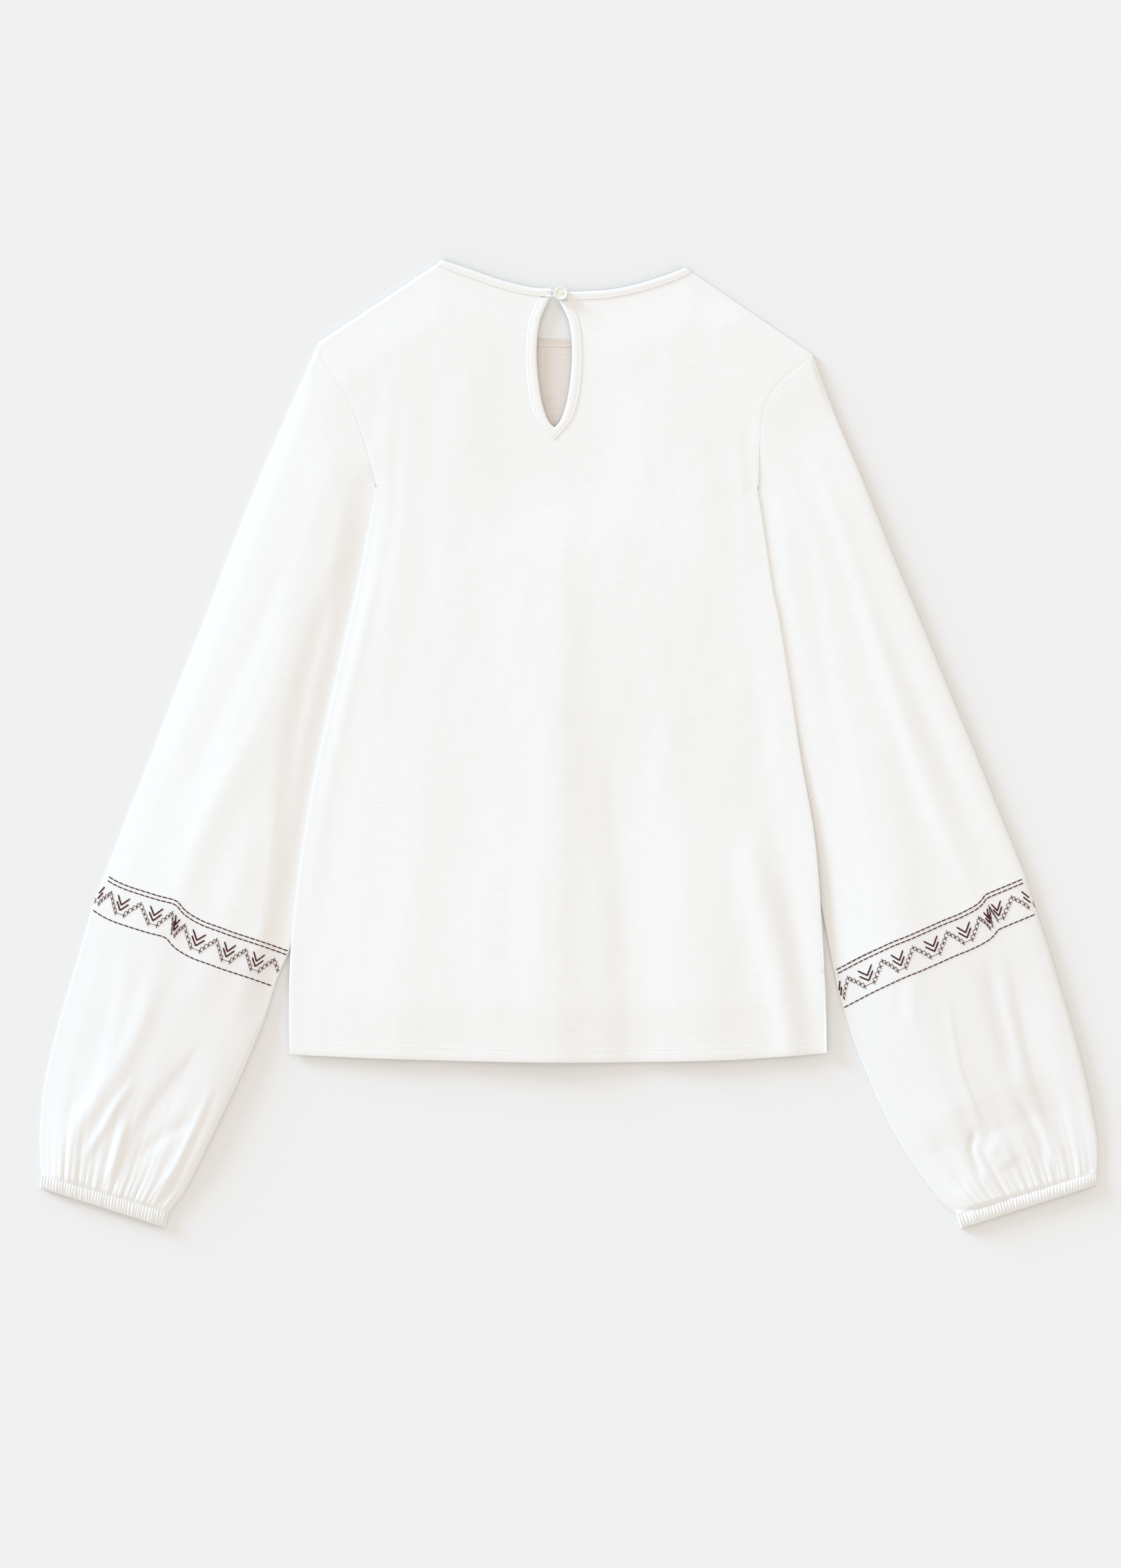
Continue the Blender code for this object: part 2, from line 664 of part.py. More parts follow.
def neck_binding(collection):
    """One tape along the back neck, over each shoulder fold and round the front neck."""
    half = WALL / 2
    back_z, front_z = EDGE_TOP - half, half
    radius = (back_z - front_z) / 2
    reach = NECK_BINDING_WIDTH / 2
    stations = []

    def add(point, width, z, normal):
        centre = Vector((point[0] + width.x * reach, point[1] + width.y * reach, z))
        stations.append((centre, Vector((*width, 0.0)) * reach, normal * half))

    def turn_over_shoulder(side, turns):
        width = shoulder_direction(side)
        outward = Vector((-width.y, width.x)) * (1.0 if side == "right" else -1.0)
        for degrees in turns:
            turn = math.radians(degrees)
            point = Vector(NECK_POINT[side]) + outward * radius * (math.sin(turn) - 0.6)
            z = (back_z + front_z) / 2 + radius * math.cos(turn)
            add(point, width, z, Vector((*outward * math.sin(turn), math.cos(turn))))

    up, down = Vector((0.0, 0.0, 1.0)), Vector((0.0, 0.0, -1.0))
    (left, left_widths), (right, right_widths) = back_neck_runs()
    front, front_widths = front_neck_run()
    for point, width in list(zip(left, left_widths))[:0:-1]:
        add(point, width, back_z, up)
    turn_over_shoulder("left", (30, 60, 90, 120, 150))
    for point, width in list(zip(front, front_widths))[1:-1]:
        add(point, width, front_z, down)
    turn_over_shoulder("right", (150, 120, 90, 60, 30))
    for point, width in list(zip(right, right_widths))[-2::-1]:
        add(point, width, back_z, up)
    return place("neck_binding", tape("neck_binding", stations), "binding", collection)


def keyhole_binding(collection):
    """One tape down the left of the slit, mitred at its foot, and up the right."""
    half = WALL / 2
    stations = []
    for (x0, y0), (x1, y1) in zip(*keyhole_sides()):
        centre = Vector(((x0 + x1) / 2, (y0 + y1) / 2, 0.0))
        centre.z = back_height(centre.x, centre.y) - half
        stations.append((centre, Vector((x1 - x0, y1 - y0, 0.0)) / 2, Vector((0.0, 0.0, half))))
    return place("keyhole_binding", tape("keyhole_binding", stations), "binding", collection)


def fold_height(folds, t, u, width):
    """The height that a sleeve's long folds add, t along it and u across it."""
    total = 0.0
    for u0, u1, t0, t1, half_width, height in folds:
        share = (t - t0) / (t1 - t0)
        off = (u - mix(u0, u1, share)) * width
        fade = smoothstep((share + 0.05) / 0.2) * smoothstep((1.05 - share) / 0.2)
        total += height * math.exp(-((off / half_width) ** 2)) * fade
    return total


def clear_of_body(side, x, y):
    """0 where the body lies on the sleeve, rising to 1 away from its side fold."""
    fold = LEVELS[side][0]
    distance = (at_level(fold, y, 0) - x) * inwards(side)
    distance += max(0.0, y - fold[0][1]) * 0.5
    return smoothstep((distance - 8.0) / 18.0)


def tube_section(plan, width, tops, bottoms, top_height):
    """The outer and the inner ring of one section of a flattened tube that rests on the surface.
    top_height gives the upper layer's height at a share across it, for the outer or the inner ring."""
    radius = SLEEVE_EDGE_RADIUS
    rings = []
    for inset in (0.0, WALL):
        r = radius - inset
        corner, rise = r * (1.0 - math.cos(math.pi / 4)), r * math.sin(math.pi / 4)
        edge = [(inset, radius), (inset + corner, radius + rise), (inset + r, radius + r)]
        points = list(edge)
        for k in range(1, tops + 1):
            share = k / (tops + 1)
            points.append((mix(radius, width - radius, share), top_height(share, inset == 0.0) - inset))
        points += [(width - a, z) for a, z in edge[::-1]]
        points += [(width - inset - corner, radius - rise), (width - radius, inset)]
        for k in range(bottoms, 0, -1):
            points.append((mix(radius, width - radius, k / (bottoms + 1)), inset))
        points += [(radius, inset), (inset + corner, radius - rise)]
        rings.append([(*plan(a / width), z) for a, z in points])
    return rings


def tube(name, sections, finish, collection):
    """A closed wall between the outer rings of the sections and their inner rings."""
    rows = [outer for outer, _ in sections] + [inner for _, inner in reversed(sections)]
    return place(name, skin(name, rows, closed_rows=True, closed_columns=True), finish, collection)


def crown_height(stations, t):
    position = t * (len(stations) - 1)
    k = min(int(position), len(stations) - 2)
    return mix(stations[k][4], stations[k + 1][4], position - k)


def straight_plan(outer, inner):
    return lambda u: (mix(outer[0], inner[0], u), mix(outer[1], inner[1], u))


def upper_plan(side, t):
    """The plan of a row of the upper sleeve, bent to the armhole seam at its start, and its width."""
    edges = edges_of(SLEEVE_UPPER[side])
    outer, inner = (at_share(edge, t) for edge in edges)
    tip, underarm = ARMHOLE[side][0], ARMHOLE[side][-1]
    bend = 1.0 - smoothstep(t / 0.4)

    def plan(u):
        seam = seam_point(side, u, -SEAM / 2)
        return tuple(
            mix(outer[k], inner[k], u) + (seam[k] - mix(tip[k], underarm[k], u)) * bend for k in (0, 1)
        )

    return plan, math.dist(outer, inner)


def sleeve_upper(side, collection):
    sections = []
    for j, t in enumerate(row_shares(UPPER_SETBACK)):
        plan, width = upper_plan(side, t if j else 0.0)
        crown = crown_height(SLEEVE_UPPER[side], t)
        blend = smoothstep(t / 0.14)

        def top_height(share, _, t=t, plan=plan, width=width, crown=crown, blend=blend):
            x, y = plan(share)
            rise = smoothstep(min(share, 1.0 - share) * width / 26.0)
            full = mix(EDGE_TOP, crown + fold_height(UPPER_FOLDS[side], t, share, width), rise)
            full = mix(back_height(x, y), full, blend)
            return mix(EDGE_TOP, full, clear_of_body(side, x, y))

        sections.append(tube_section(plan, width, ARM_TOPS, ARM_BOTTOMS, top_height))
    return tube(f"{side}_sleeve_upper", sections, "jersey", collection)


def sleeve_lower(side, collection):
    sections = []
    outer_edge, inner_edge = edges_of(SLEEVE_LOWER[side])
    for share_along in row_shares(LOWER_SETBACK):
        t = share_along ** 0.85
        outer, inner = at_share(outer_edge, t), at_share(inner_edge, t)
        plan, width = straight_plan(outer, inner), math.dist(outer, inner)
        crown = crown_height(SLEEVE_LOWER[side], t)
        depth = GATHER_DEPTH * smoothstep((t - 0.7) / 0.2)

        def top_height(share, _, t=t, plan=plan, width=width, crown=crown, depth=depth):
            x, y = plan(share)
            rise = smoothstep(min(share, 1.0 - share) * width / 26.0)
            full = crown + fold_height(LOWER_FOLDS[side], t, share, width)
            full += depth * math.cos(2 * math.pi * GATHERS * share) * (0.7 + 0.3 * math.sin(9.0 * share))
            return mix(EDGE_TOP, full, rise * clear_of_body(side, x, y))

        sections.append(tube_section(plan, width, 2 * GATHERS - 1, 4, top_height))
    return tube(f"{side}_sleeve_lower", sections, "poplin", collection)


def cuff(side, collection):
    """A short tube whose outer points alone are raised into ribs."""
    top, bottom = CUFF[side]
    sections = []
    for share_along in (0.0, 0.5, 1.0):
        ends = [mix(a, b, share_along) for a, b in zip(top, bottom)]

        def top_height(share, is_outer):
            height = mix(EDGE_TOP, CUFF_CROWN, smoothstep(min(share, 1.0 - share) / 0.12))
            rib = 0.5 - 0.5 * math.cos(2 * math.pi * CUFF_RIBS * share)
            return height + CUFF_RIB_HEIGHT * rib * is_outer

        plan, width = straight_plan(ends[:2], ends[2:]), math.dist(ends[:2], ends[2:])
        sections.append(tube_section(plan, width, 2 * CUFF_RIBS - 1, 4, top_height))
    return tube(f"{side}_cuff", sections, "poplin", collection)


def button(collection, cutters):
    """A turned two-hole button on its thread shank, standing on the end of the neck binding."""
    foot = EDGE_TOP + SEAM
    under = foot + 2 * LOOP_RADIUS + SEAM
    top = under + BUTTON_THICKNESS
    profile = [
        (0.0, top - BUTTON_DISH), (BUTTON_RADIUS - BUTTON_RIM - 0.5, top - BUTTON_DISH),
        (BUTTON_RADIUS - BUTTON_RIM, top), (BUTTON_RADIUS - 0.3, top), (BUTTON_RADIUS, top - 0.4),
        (BUTTON_RADIUS, under + 0.7), (BUTTON_RADIUS - 1.0, under), (SHANK_RADIUS, under),
        (SHANK_RADIUS, foot), (0.0, foot),
    ]
    mesh = bpy.data.meshes.new("button")
    mesh.from_pydata(
        [(r * MM, 0.0, z * MM) for r, z in profile], [(k, k + 1) for k in range(len(profile) - 1)], [])
    made = place("button", mesh, "pearl", collection)
    made.location = (BUTTON_CENTRE[0] * MM, BUTTON_CENTRE[1] * MM, 0.0)
    turn = made.modifiers.new("turn", "SCREW")
    turn.steps = turn.render_steps = 24
    turn.use_merge_vertices = True
    turn.merge_threshold = 0.00001
    for k in (-1, 1):
        x = BUTTON_CENTRE[0] + k * BUTTON_HOLE_SPACING / 2
        outline = [
            (x + BUTTON_HOLE_RADIUS * math.cos(math.tau * step / 8),
             BUTTON_CENTRE[1] + BUTTON_HOLE_RADIUS * math.sin(math.tau * step / 8))
            for step in range(8)
        ]
        cut(made, prism_cutter(f"button_hole_cutter_{k + 1}", outline, under - 1.0, top + 1.0, cutters))
    return made


def button_loop(collection):
    """A thread loop from the left end of the neck binding round the button's shank."""
    z = EDGE_TOP + SEAM + LOOP_RADIUS
    bend = SHANK_RADIUS + SEAM + LOOP_RADIUS
    x, y = BUTTON_CENTRE
    route = [(LOOP_START_X, y + bend + LOOP_SPREAD)]
    for step in range(9):
        turn = math.radians(90.0 - 180.0 * step / 8)
        route.append((x + bend * math.cos(turn), y + bend * math.sin(turn)))
    route.append((LOOP_START_X, y - bend - LOOP_SPREAD))
    curve = bpy.data.curves.new("button_loop", "CURVE")
    curve.dimensions = "3D"
    curve.bevel_depth = LOOP_RADIUS * MM
    curve.bevel_resolution = 2
    curve.use_fill_caps = True
    spline = curve.splines.new("POLY")
    spline.points.add(len(route) - 1)
    for point, (px, py) in zip(spline.points, route):
        point.co = (px * MM, py * MM, z * MM, 1.0)
    return place("button_loop", curve, "thread", collection)


def centre_on_origin():
    """Carries everything on one empty, so that the laid-out garment is centred over the origin."""
    carrier = bpy.data.objects.new("jersey_top", None)
    bpy.context.scene.collection.objects.link(carrier)
    carrier.location = (BODY_CENTRE[0] * MM, BODY_CENTRE[1] * MM, 0.0)
    for obj in bpy.data.objects:
        if obj is not carrier:
            obj.parent = carrier


def main():
    clear_scene()
    garment = new_collection("jersey_top")
    cutters = new_collection("cutters")
    cut_keyhole(back_panel(garment), cutters)
    front_panel(garment)
    neck_binding(garment)
    keyhole_binding(garment)
    for side in ("left", "right"):
        sleeve_upper(side, garment)
        sleeve_lower(side, garment)
        cuff(side, garment)
    button(garment, cutters)
    button_loop(garment)
    centre_on_origin()


main()
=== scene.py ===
# %% [markdown]
# # A white jersey top with embroidered sleeves
#
# This lesson dresses the plain solids of a laid-out top. The solids give every piece its place and
# size. Here each one is replaced by a thin cloth shell with soft creases, then come the bindings, the
# sewing, the embroidered borders, the button, and last the light that makes white cloth readable.

# %% Load the frame
import json
import math

import bpy
import numpy as np
from mathutils import Matrix, Vector
from mathutils.bvhtree import BVHTree

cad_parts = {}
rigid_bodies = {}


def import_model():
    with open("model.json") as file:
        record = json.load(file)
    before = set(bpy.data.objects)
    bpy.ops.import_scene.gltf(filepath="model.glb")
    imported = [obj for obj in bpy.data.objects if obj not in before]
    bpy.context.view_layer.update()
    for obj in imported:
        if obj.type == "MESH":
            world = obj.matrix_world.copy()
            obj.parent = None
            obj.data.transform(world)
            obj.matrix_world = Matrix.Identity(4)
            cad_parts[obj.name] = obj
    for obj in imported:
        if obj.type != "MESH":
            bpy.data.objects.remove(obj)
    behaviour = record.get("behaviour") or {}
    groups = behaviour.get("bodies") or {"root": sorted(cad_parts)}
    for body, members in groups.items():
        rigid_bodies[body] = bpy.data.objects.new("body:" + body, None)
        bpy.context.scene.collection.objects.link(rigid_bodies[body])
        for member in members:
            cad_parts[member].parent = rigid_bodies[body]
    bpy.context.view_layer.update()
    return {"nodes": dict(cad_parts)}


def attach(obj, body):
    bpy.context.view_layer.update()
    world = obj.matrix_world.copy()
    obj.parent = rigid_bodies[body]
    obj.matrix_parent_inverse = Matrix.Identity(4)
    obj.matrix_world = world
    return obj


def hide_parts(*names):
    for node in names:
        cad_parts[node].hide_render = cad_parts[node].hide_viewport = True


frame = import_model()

print("nodes:", sorted(frame["nodes"]))

# %% [markdown]
# ## The camera
#
# A top that is laid out for a photograph is shot from a stand straight above it. From 3 metres away a
# long lens keeps the edges parallel. Its focal length follows from how much of the surface it sees: the
# long side of the picture covers 1181 mm.

# %% Camera straight above
MM = 0.001
VIEW_CENTRE = (-6.2, -30.1)
VIEW_LENGTH = 1181.4
CAMERA_HEIGHT = 3000.0
SENSOR = 36.0

camera_data = bpy.data.cameras.new("stand_camera")
camera_data.sensor_width = SENSOR
camera_data.lens = SENSOR * CAMERA_HEIGHT / VIEW_LENGTH
camera = bpy.data.objects.new("stand_camera", camera_data)
camera.location = (VIEW_CENTRE[0] * MM, VIEW_CENTRE[1] * MM, CAMERA_HEIGHT * MM)
bpy.context.scene.collection.objects.link(camera)
bpy.context.scene.camera = camera
print("lens:", round(camera_data.lens, 1), "mm")

# %% [markdown]
# ## Colours and nodes
#
# Colours are picked as sRGB hex values, which is how we see them, and a shader wants linear light. One
# function turns them. Another adds a node with its settings and links, so that a material reads as a
# short list.

# %% Helpers for materials
def linear(hex_colour):
    """The linear colour of an sRGB hex value such as #F4F1EA."""
    parts = [int(hex_colour[k:k + 2], 16) / 255 for k in (1, 3, 5)]
    return (*[p / 12.92 if p <= 0.04045 else ((p + 0.055) / 1.055) ** 2.4 for p in parts], 1.0)


def add_node(material, kind, settings=None, **links):
    """Adds a node. Settings are its own properties or socket values, links name sockets to plug in."""
    node = material.node_tree.nodes.new(kind)
    for key, value in (settings or {}).items():
        if isinstance(key, str) and hasattr(node, key):
            setattr(node, key, value)
        else:
            node.inputs[key].default_value = value
    for key, source in links.items():
        material.node_tree.links.new(source, node.inputs[key.replace("_", " ")])
    return node


def new_material(name, **shader_values):
    """A material and its shader, with these values on the shader's own sockets."""
    made = bpy.data.materials.new(name)
    made.use_nodes = True
    shader = made.node_tree.nodes["Principled BSDF"]
    for key, value in shader_values.items():
        shader.inputs[key.replace("_", " ")].default_value = value
    return made, shader


def plug(material, source, target):
    material.node_tree.links.new(source, target)


def colour_and_relief(made, shader, colours, share, height=None, bump=0.0, depth=0.2):
    """Ends a material: its colour goes from one to the other by the share, and the height raises it."""
    first, second = (linear(colour) for colour in colours)
    tint = add_node(made, "ShaderNodeMixRGB", {"Color1": first, "Color2": second}, Fac=share)
    plug(made, tint.outputs[0], shader.inputs["Base Color"])
    if height is not None:
        raised = add_node(made, "ShaderNodeBump", {"Strength": bump, "Distance": depth * MM}, Height=height)
        plug(made, raised.outputs[0], shader.inputs["Normal"])
    print(f"{made.name}: {len(made.node_tree.nodes)} nodes")


# %% [markdown]
# ## Cotton jersey
#
# The body and the upper sleeves are slub jersey: cotton yarn of uneven thickness, knitted on a fine
# machine and washed. It has three scales of detail. Long thin slubs run across the piece where the yarn
# is thicker, the columns of stitches show as hardly visible ribs, and short fibres make it quite matt
# with a faint sheen at its edges. The pattern follows the cloth, so it reads the piece's own UV map,
# which is laid out in decimetres. Real stitches are 0.35 mm wide, too fine to show, so the ribs are
# drawn 0.9 mm apart: 111 in a decimetre. A wave texture of scale 0.314 makes one band in each unit.

# %% Jersey, and jersey with painted shade
BAND_PER_UNIT = 0.314
RIBS = (111.0, 111.0, 1.0)


def knitted(name, colours, bump):
    made, shader = new_material(name, Roughness=0.95, Sheen_Weight=0.03, Sheen_Roughness=0.5,
                                Specular_IOR_Level=0.15)
    uv = add_node(made, "ShaderNodeUVMap", {"uv_map": "cloth"})
    stretched = add_node(made, "ShaderNodeMapping", {"Scale": (3.5, 60.0, 1.0)}, Vector=uv.outputs[0])
    slubs = add_node(made, "ShaderNodeTexNoise", {"Scale": 1.6, "Detail": 5.0, "Roughness": 0.62},
                     Vector=stretched.outputs[0])
    thick = add_node(made, "ShaderNodeValToRGB", Fac=slubs.outputs["Fac"])
    thick.color_ramp.elements[0].position, thick.color_ramp.elements[1].position = 0.42, 0.74
    fine = add_node(made, "ShaderNodeMapping", {"Scale": RIBS}, Vector=uv.outputs[0])
    ribs = add_node(made, "ShaderNodeTexWave", {"Scale": BAND_PER_UNIT, "Distortion": 1.2, "Detail": 2.0},
                    Vector=fine.outputs[0])
    fuzz = add_node(made, "ShaderNodeTexNoise", {"Scale": 60.0, "Detail": 6.0}, Vector=uv.outputs[0])
    height = slubs.outputs["Fac"]
    for layer, share in ((ribs, 0.35), (fuzz, 0.30)):
        added = add_node(made, "ShaderNodeMath", {"operation": "MULTIPLY_ADD", 1: share},
                         Value=layer.outputs["Fac"])
        plug(made, height, added.inputs[2])
        height = added.outputs[0]
    colour_and_relief(made, shader, colours, thick.outputs["Color"], height, bump)
    return made


JERSEY = knitted("slub_cotton_jersey", ("#EDEDEC", "#EAE9E7"), 0.14)
# Painted shade: the front panel seen through the keyhole lies in the back's shadow, so this jersey's colours
# are darker and warmer.
JERSEY_PAINTED_SHADE = knitted("slub_cotton_jersey_painted_shade", ("#E2DBD5", "#D8D0C9"), 0.35)

# %% [markdown]
# ## Cotton poplin
#
# The lower sleeves are woven, which is why they crumple in crisper folds than the knitted body. Poplin
# has more warp threads than weft, so fine ribs run across it. Two wave textures at right angles make
# the threads. They are drawn 0.7 mm apart, 143 in a decimetre, where the real ones are 0.2 mm, which is
# too fine to show. The bindings are a tape of the same cloth, cut on the slant so that it bends.

# %% Poplin and tape
THREADS = (143.0, 143.0, 1.0)


def woven(name, colours, bump):
    made, shader = new_material(name, Roughness=0.9, Sheen_Weight=0.02, Sheen_Roughness=0.4,
                                Specular_IOR_Level=0.15)
    uv = add_node(made, "ShaderNodeUVMap", {"uv_map": "cloth"})
    fine = add_node(made, "ShaderNodeMapping", {"Scale": THREADS}, Vector=uv.outputs[0])
    warp, weft = (
        add_node(made, "ShaderNodeTexWave", {"bands_direction": direction, "Scale": BAND_PER_UNIT,
                                             "Distortion": 0.8, "Detail": 1.0}, Vector=fine.outputs[0])
        for direction in ("X", "Y")
    )
    threads = add_node(made, "ShaderNodeMath", {"operation": "MULTIPLY"}, Value=warp.outputs["Fac"])
    plug(made, weft.outputs["Fac"], threads.inputs[1])
    cloudy = add_node(made, "ShaderNodeTexNoise", {"Scale": 9.0, "Detail": 4.0}, Vector=uv.outputs[0])
    colour_and_relief(made, shader, colours, cloudy.outputs["Fac"], threads.outputs[0], bump)
    return made


POPLIN = woven("cotton_poplin", ("#EBEAE9", "#E8E7E6"), 0.14)
BINDING_TAPE = woven("bias_cut_cotton_tape", ("#EEEEED", "#ECEBEA"), 0.2)
# Painted shade: a darker, warmer copy of the tape for the binding's front run, which lies in shadow behind
# the keyhole.
TAPE_PAINTED_SHADE = woven("bias_cut_cotton_tape_painted_shade", ("#E0D8D1", "#D9D0C8"), 0.3)

# %% [markdown]
# ## Threads, pearl and floor
#
# Sewing thread is a fine white twist. The embroidery is worked in stranded cotton, dyed maroon brown,
# whose strands catch a little light along the stitch: a band every 0.35 mm. The button is river shell:
# hard, polished and clouded inside. The surface is matt painted board.

# %% Threads, pearl and floor
STRANDS_SCALE = 900.0


def twisted(name, colours, roughness):
    made, shader = new_material(name, Roughness=roughness, Sheen_Weight=0.02, Specular_IOR_Level=0.2)
    place = add_node(made, "ShaderNodeTexCoord")
    strands = add_node(made, "ShaderNodeTexWave", {"Scale": STRANDS_SCALE, "Distortion": 1.5, "Detail": 1.0},
                       Vector=place.outputs["Object"])
    colour_and_relief(made, shader, colours, strands.outputs["Fac"], strands.outputs["Fac"], 0.4, 0.1)
    return made


def clouded(name, colours, clouds, **shader_values):
    made, shader = new_material(name, **shader_values)
    place = add_node(made, "ShaderNodeTexCoord")
    noise = add_node(made, "ShaderNodeTexNoise", clouds, Vector=place.outputs["Object"])
    colour_and_relief(made, shader, colours, noise.outputs["Fac"])
    return made


SEWING_THREAD = twisted("cotton_sewing_thread", ("#F3F2EF", "#FAF9F7"), 0.7)
LOOP_THREAD = twisted("button_loop_thread", ("#EDEBE6", "#F6F5F1"), 0.7)
MAROON_THREAD = twisted("stranded_embroidery_cotton", ("#3A0A13", "#4E141D"), 0.6)
PEARL = clouded("polished_river_shell", ("#E4E2DA", "#F4F3EE"),
                {"Scale": 260.0, "Detail": 3.0, "Distortion": 1.6}, Roughness=0.22, Coat_Weight=0.4)
BOARD = clouded("matt_painted_board", ("#E7E7E7", "#E8E8E8"),
                {"Scale": 3.0, "Detail": 2.0}, Roughness=0.95, Specular_IOR_Level=0.1)

# %% [markdown]
# ## Lines and creases
#
# A pattern cutter works with lines: a neckline, an armhole, a side seam. So does this lesson. A line is
# a short list of points in millimetres from the middle of the body, `smooth_line` draws a curve
# through them, and `along` finds the points at given shares of its length. A crease is such a line with
# half a width and a height: a ridge where the height is positive and a trough where it is negative.

# %% Lines
BODY_CENTRE = (-8.8, -0.5)
SIDES = ("left", "right")


def smooth_line(points, steps=6):
    """A smooth curve through the points, with that many steps between each two of them."""
    points = np.asarray(points, float)
    padded = np.vstack([points[:1], points, points[-1:]])
    t = np.arange(steps)[:, None] / steps
    parts = []
    for before, a, b, after in zip(padded, padded[1:], padded[2:], padded[3:]):
        parts.append(0.5 * (2 * a + (b - before) * t + (2 * before - 5 * a + 4 * b - after) * t**2
                            + (3 * a - before - 3 * b + after) * t**3))
    return np.vstack([*parts, points[-1:]])


def distances(line):
    """How far along the line each of its points lies."""
    steps = np.linalg.norm(np.diff(line[:, :2], axis=0), axis=1)
    return np.concatenate([[0.0], np.cumsum(steps)])


def along(line, shares):
    """The points at these shares of the line's length."""
    line = np.asarray(line, float)
    total = distances(line)
    goal = np.clip(np.atleast_1d(shares), 0.0, 1.0) * total[-1]
    return np.stack([np.interp(goal, total, line[:, k]) for k in range(line.shape[1])], axis=-1)


def smoothstep(value):
    value = np.clip(value, 0.0, 1.0)
    return value * value * (3.0 - 2.0 * value)


def mix(a, b, share):
    return a + (b - a) * share


def inwards(side):
    """The direction along X from a side towards the middle of the body."""
    return 1.0 if side == "left" else -1.0


# %% Creases
def to_line(x, y, line):
    """For each point, how far it is from the line, how far along the line, and on which side."""
    best = np.full(x.shape, 1e9)
    where, hand = np.zeros(x.shape), np.zeros(x.shape)
    total = distances(line)
    for k in range(len(line) - 1):
        a, run = line[k, :2], line[k + 1, :2] - line[k, :2]
        length = max(np.hypot(*run), 1e-6)
        t = np.clip(((x - a[0]) * run[0] + (y - a[1]) * run[1]) / length**2, 0.0, 1.0)
        off_x, off_y = x - a[0] - t * run[0], y - a[1] - t * run[1]
        off = np.hypot(off_x, off_y)
        nearer = off < best
        best = np.where(nearer, off, best)
        where = np.where(nearer, total[k] + t * length, where)
        hand = np.where(nearer, np.sign(run[0] * off_y - run[1] * off_x), hand)
    return best, where, hand


def crease_height(x, y, creases):
    """What the creases add to the cloth at each point. Each row: points, half width, height, and
    how much steeper its left side is than its right one."""
    total = np.zeros(x.shape)
    for points, half_width, height, lean in creases:
        line = smooth_line(points, 4)
        off, where, hand = to_line(x, y, line)
        length = distances(line)[-1]
        fade = smoothstep(where / (0.30 * length)) * smoothstep((length - where) / (0.30 * length))
        width = half_width * (1.0 - lean * hand)
        total += height * np.exp(-((off / width) ** 2)) * fade
    return total


def wander(x, y, size, seed):
    """Soft waves of about that size, the same ones for the same seed."""
    rng = np.random.default_rng(seed)
    total = np.zeros(x.shape)
    for _ in range(9):
        turn, phase = rng.uniform(0, math.tau, 2)
        pitch = size * rng.uniform(0.7, 1.6)
        total += np.sin((x * math.cos(turn) + y * math.sin(turn)) * math.tau / pitch + phase)
    return total / 9


# %% [markdown]
# ## From a grid of points to cloth
#
# Cloth is easiest to shape as a grid of points, rows by columns, whose heights come from the lines and
# creases. The grid becomes a mesh of quads, joined round its columns for a tube. Solidify then gives it
# the thickness of real cloth, about half a millimetre, on the inside, and the modifier is applied.

# %% Grid to cloth
CLOTH_WALL = 0.5
DECIMETRE = 100.0


def select_only(obj):
    bpy.ops.object.select_all(action="DESELECT")
    obj.select_set(True)
    bpy.context.view_layer.objects.active = obj


def join(pieces):
    """Joins the pieces to the first of them."""
    select_only(pieces[0])
    for piece in pieces[1:]:
        piece.select_set(True)
    bpy.ops.object.join()
    return pieces[0]


def mesh_piece(name, verts, faces, uvs=None):
    """An object of points in millimetres from the middle of the body, with a UV for each corner."""
    verts = np.asarray(verts, float) + (*BODY_CENTRE, 0.0)
    mesh = bpy.data.meshes.new(name)
    mesh.from_pydata((verts * MM).tolist(), [], faces)
    if uvs is not None:
        layer = mesh.uv_layers.new(name="cloth")
        layer.data.foreach_set("uv", (np.asarray(uvs, float) / DECIMETRE).ravel())
    obj = bpy.data.objects.new(name, mesh)
    bpy.context.scene.collection.objects.link(obj)
    return obj


def grid_piece(name, points, flat, closed=False):
    """A sheet over a grid of points, with the flat position of each point for its pattern."""
    rows, columns = points.shape[:2]
    width = columns if closed else columns - 1
    r, c = (part.ravel() for part in np.meshgrid(np.arange(rows - 1), np.arange(width), indexing="ij"))
    following = (c + 1) % columns
    faces = np.stack([r * columns + c, r * columns + following,
                      (r + 1) * columns + following, (r + 1) * columns + c], axis=-1)
    corner = np.stack([flat[r, c], flat[r, c + 1], flat[r + 1, c + 1], flat[r + 1, c]], axis=1)
    return mesh_piece(name, points.reshape(-1, 3), faces.tolist(), corner)


def as_cloth(obj, material):
    """Gives the sheet its wall and its material, and shades it smooth."""
    select_only(obj)
    wall = obj.modifiers.new("wall", "SOLIDIFY")
    wall.thickness = CLOTH_WALL * MM
    wall.offset = -1.0
    bpy.ops.object.modifier_apply(modifier=wall.name)
    bpy.ops.object.shade_smooth_by_angle(angle=math.radians(50))
    obj.data.materials.append(material)
    print(f"{obj.name}: {len(obj.data.polygons)} faces")
    return obj


# %% [markdown]
# ## The cut of the body
#
# These are the sizes of the solids: the necklines, the armholes, the sides that fold under, and the
# hem. The back is the wider panel. At each side it folds under over the sleeve and laps onto the front.

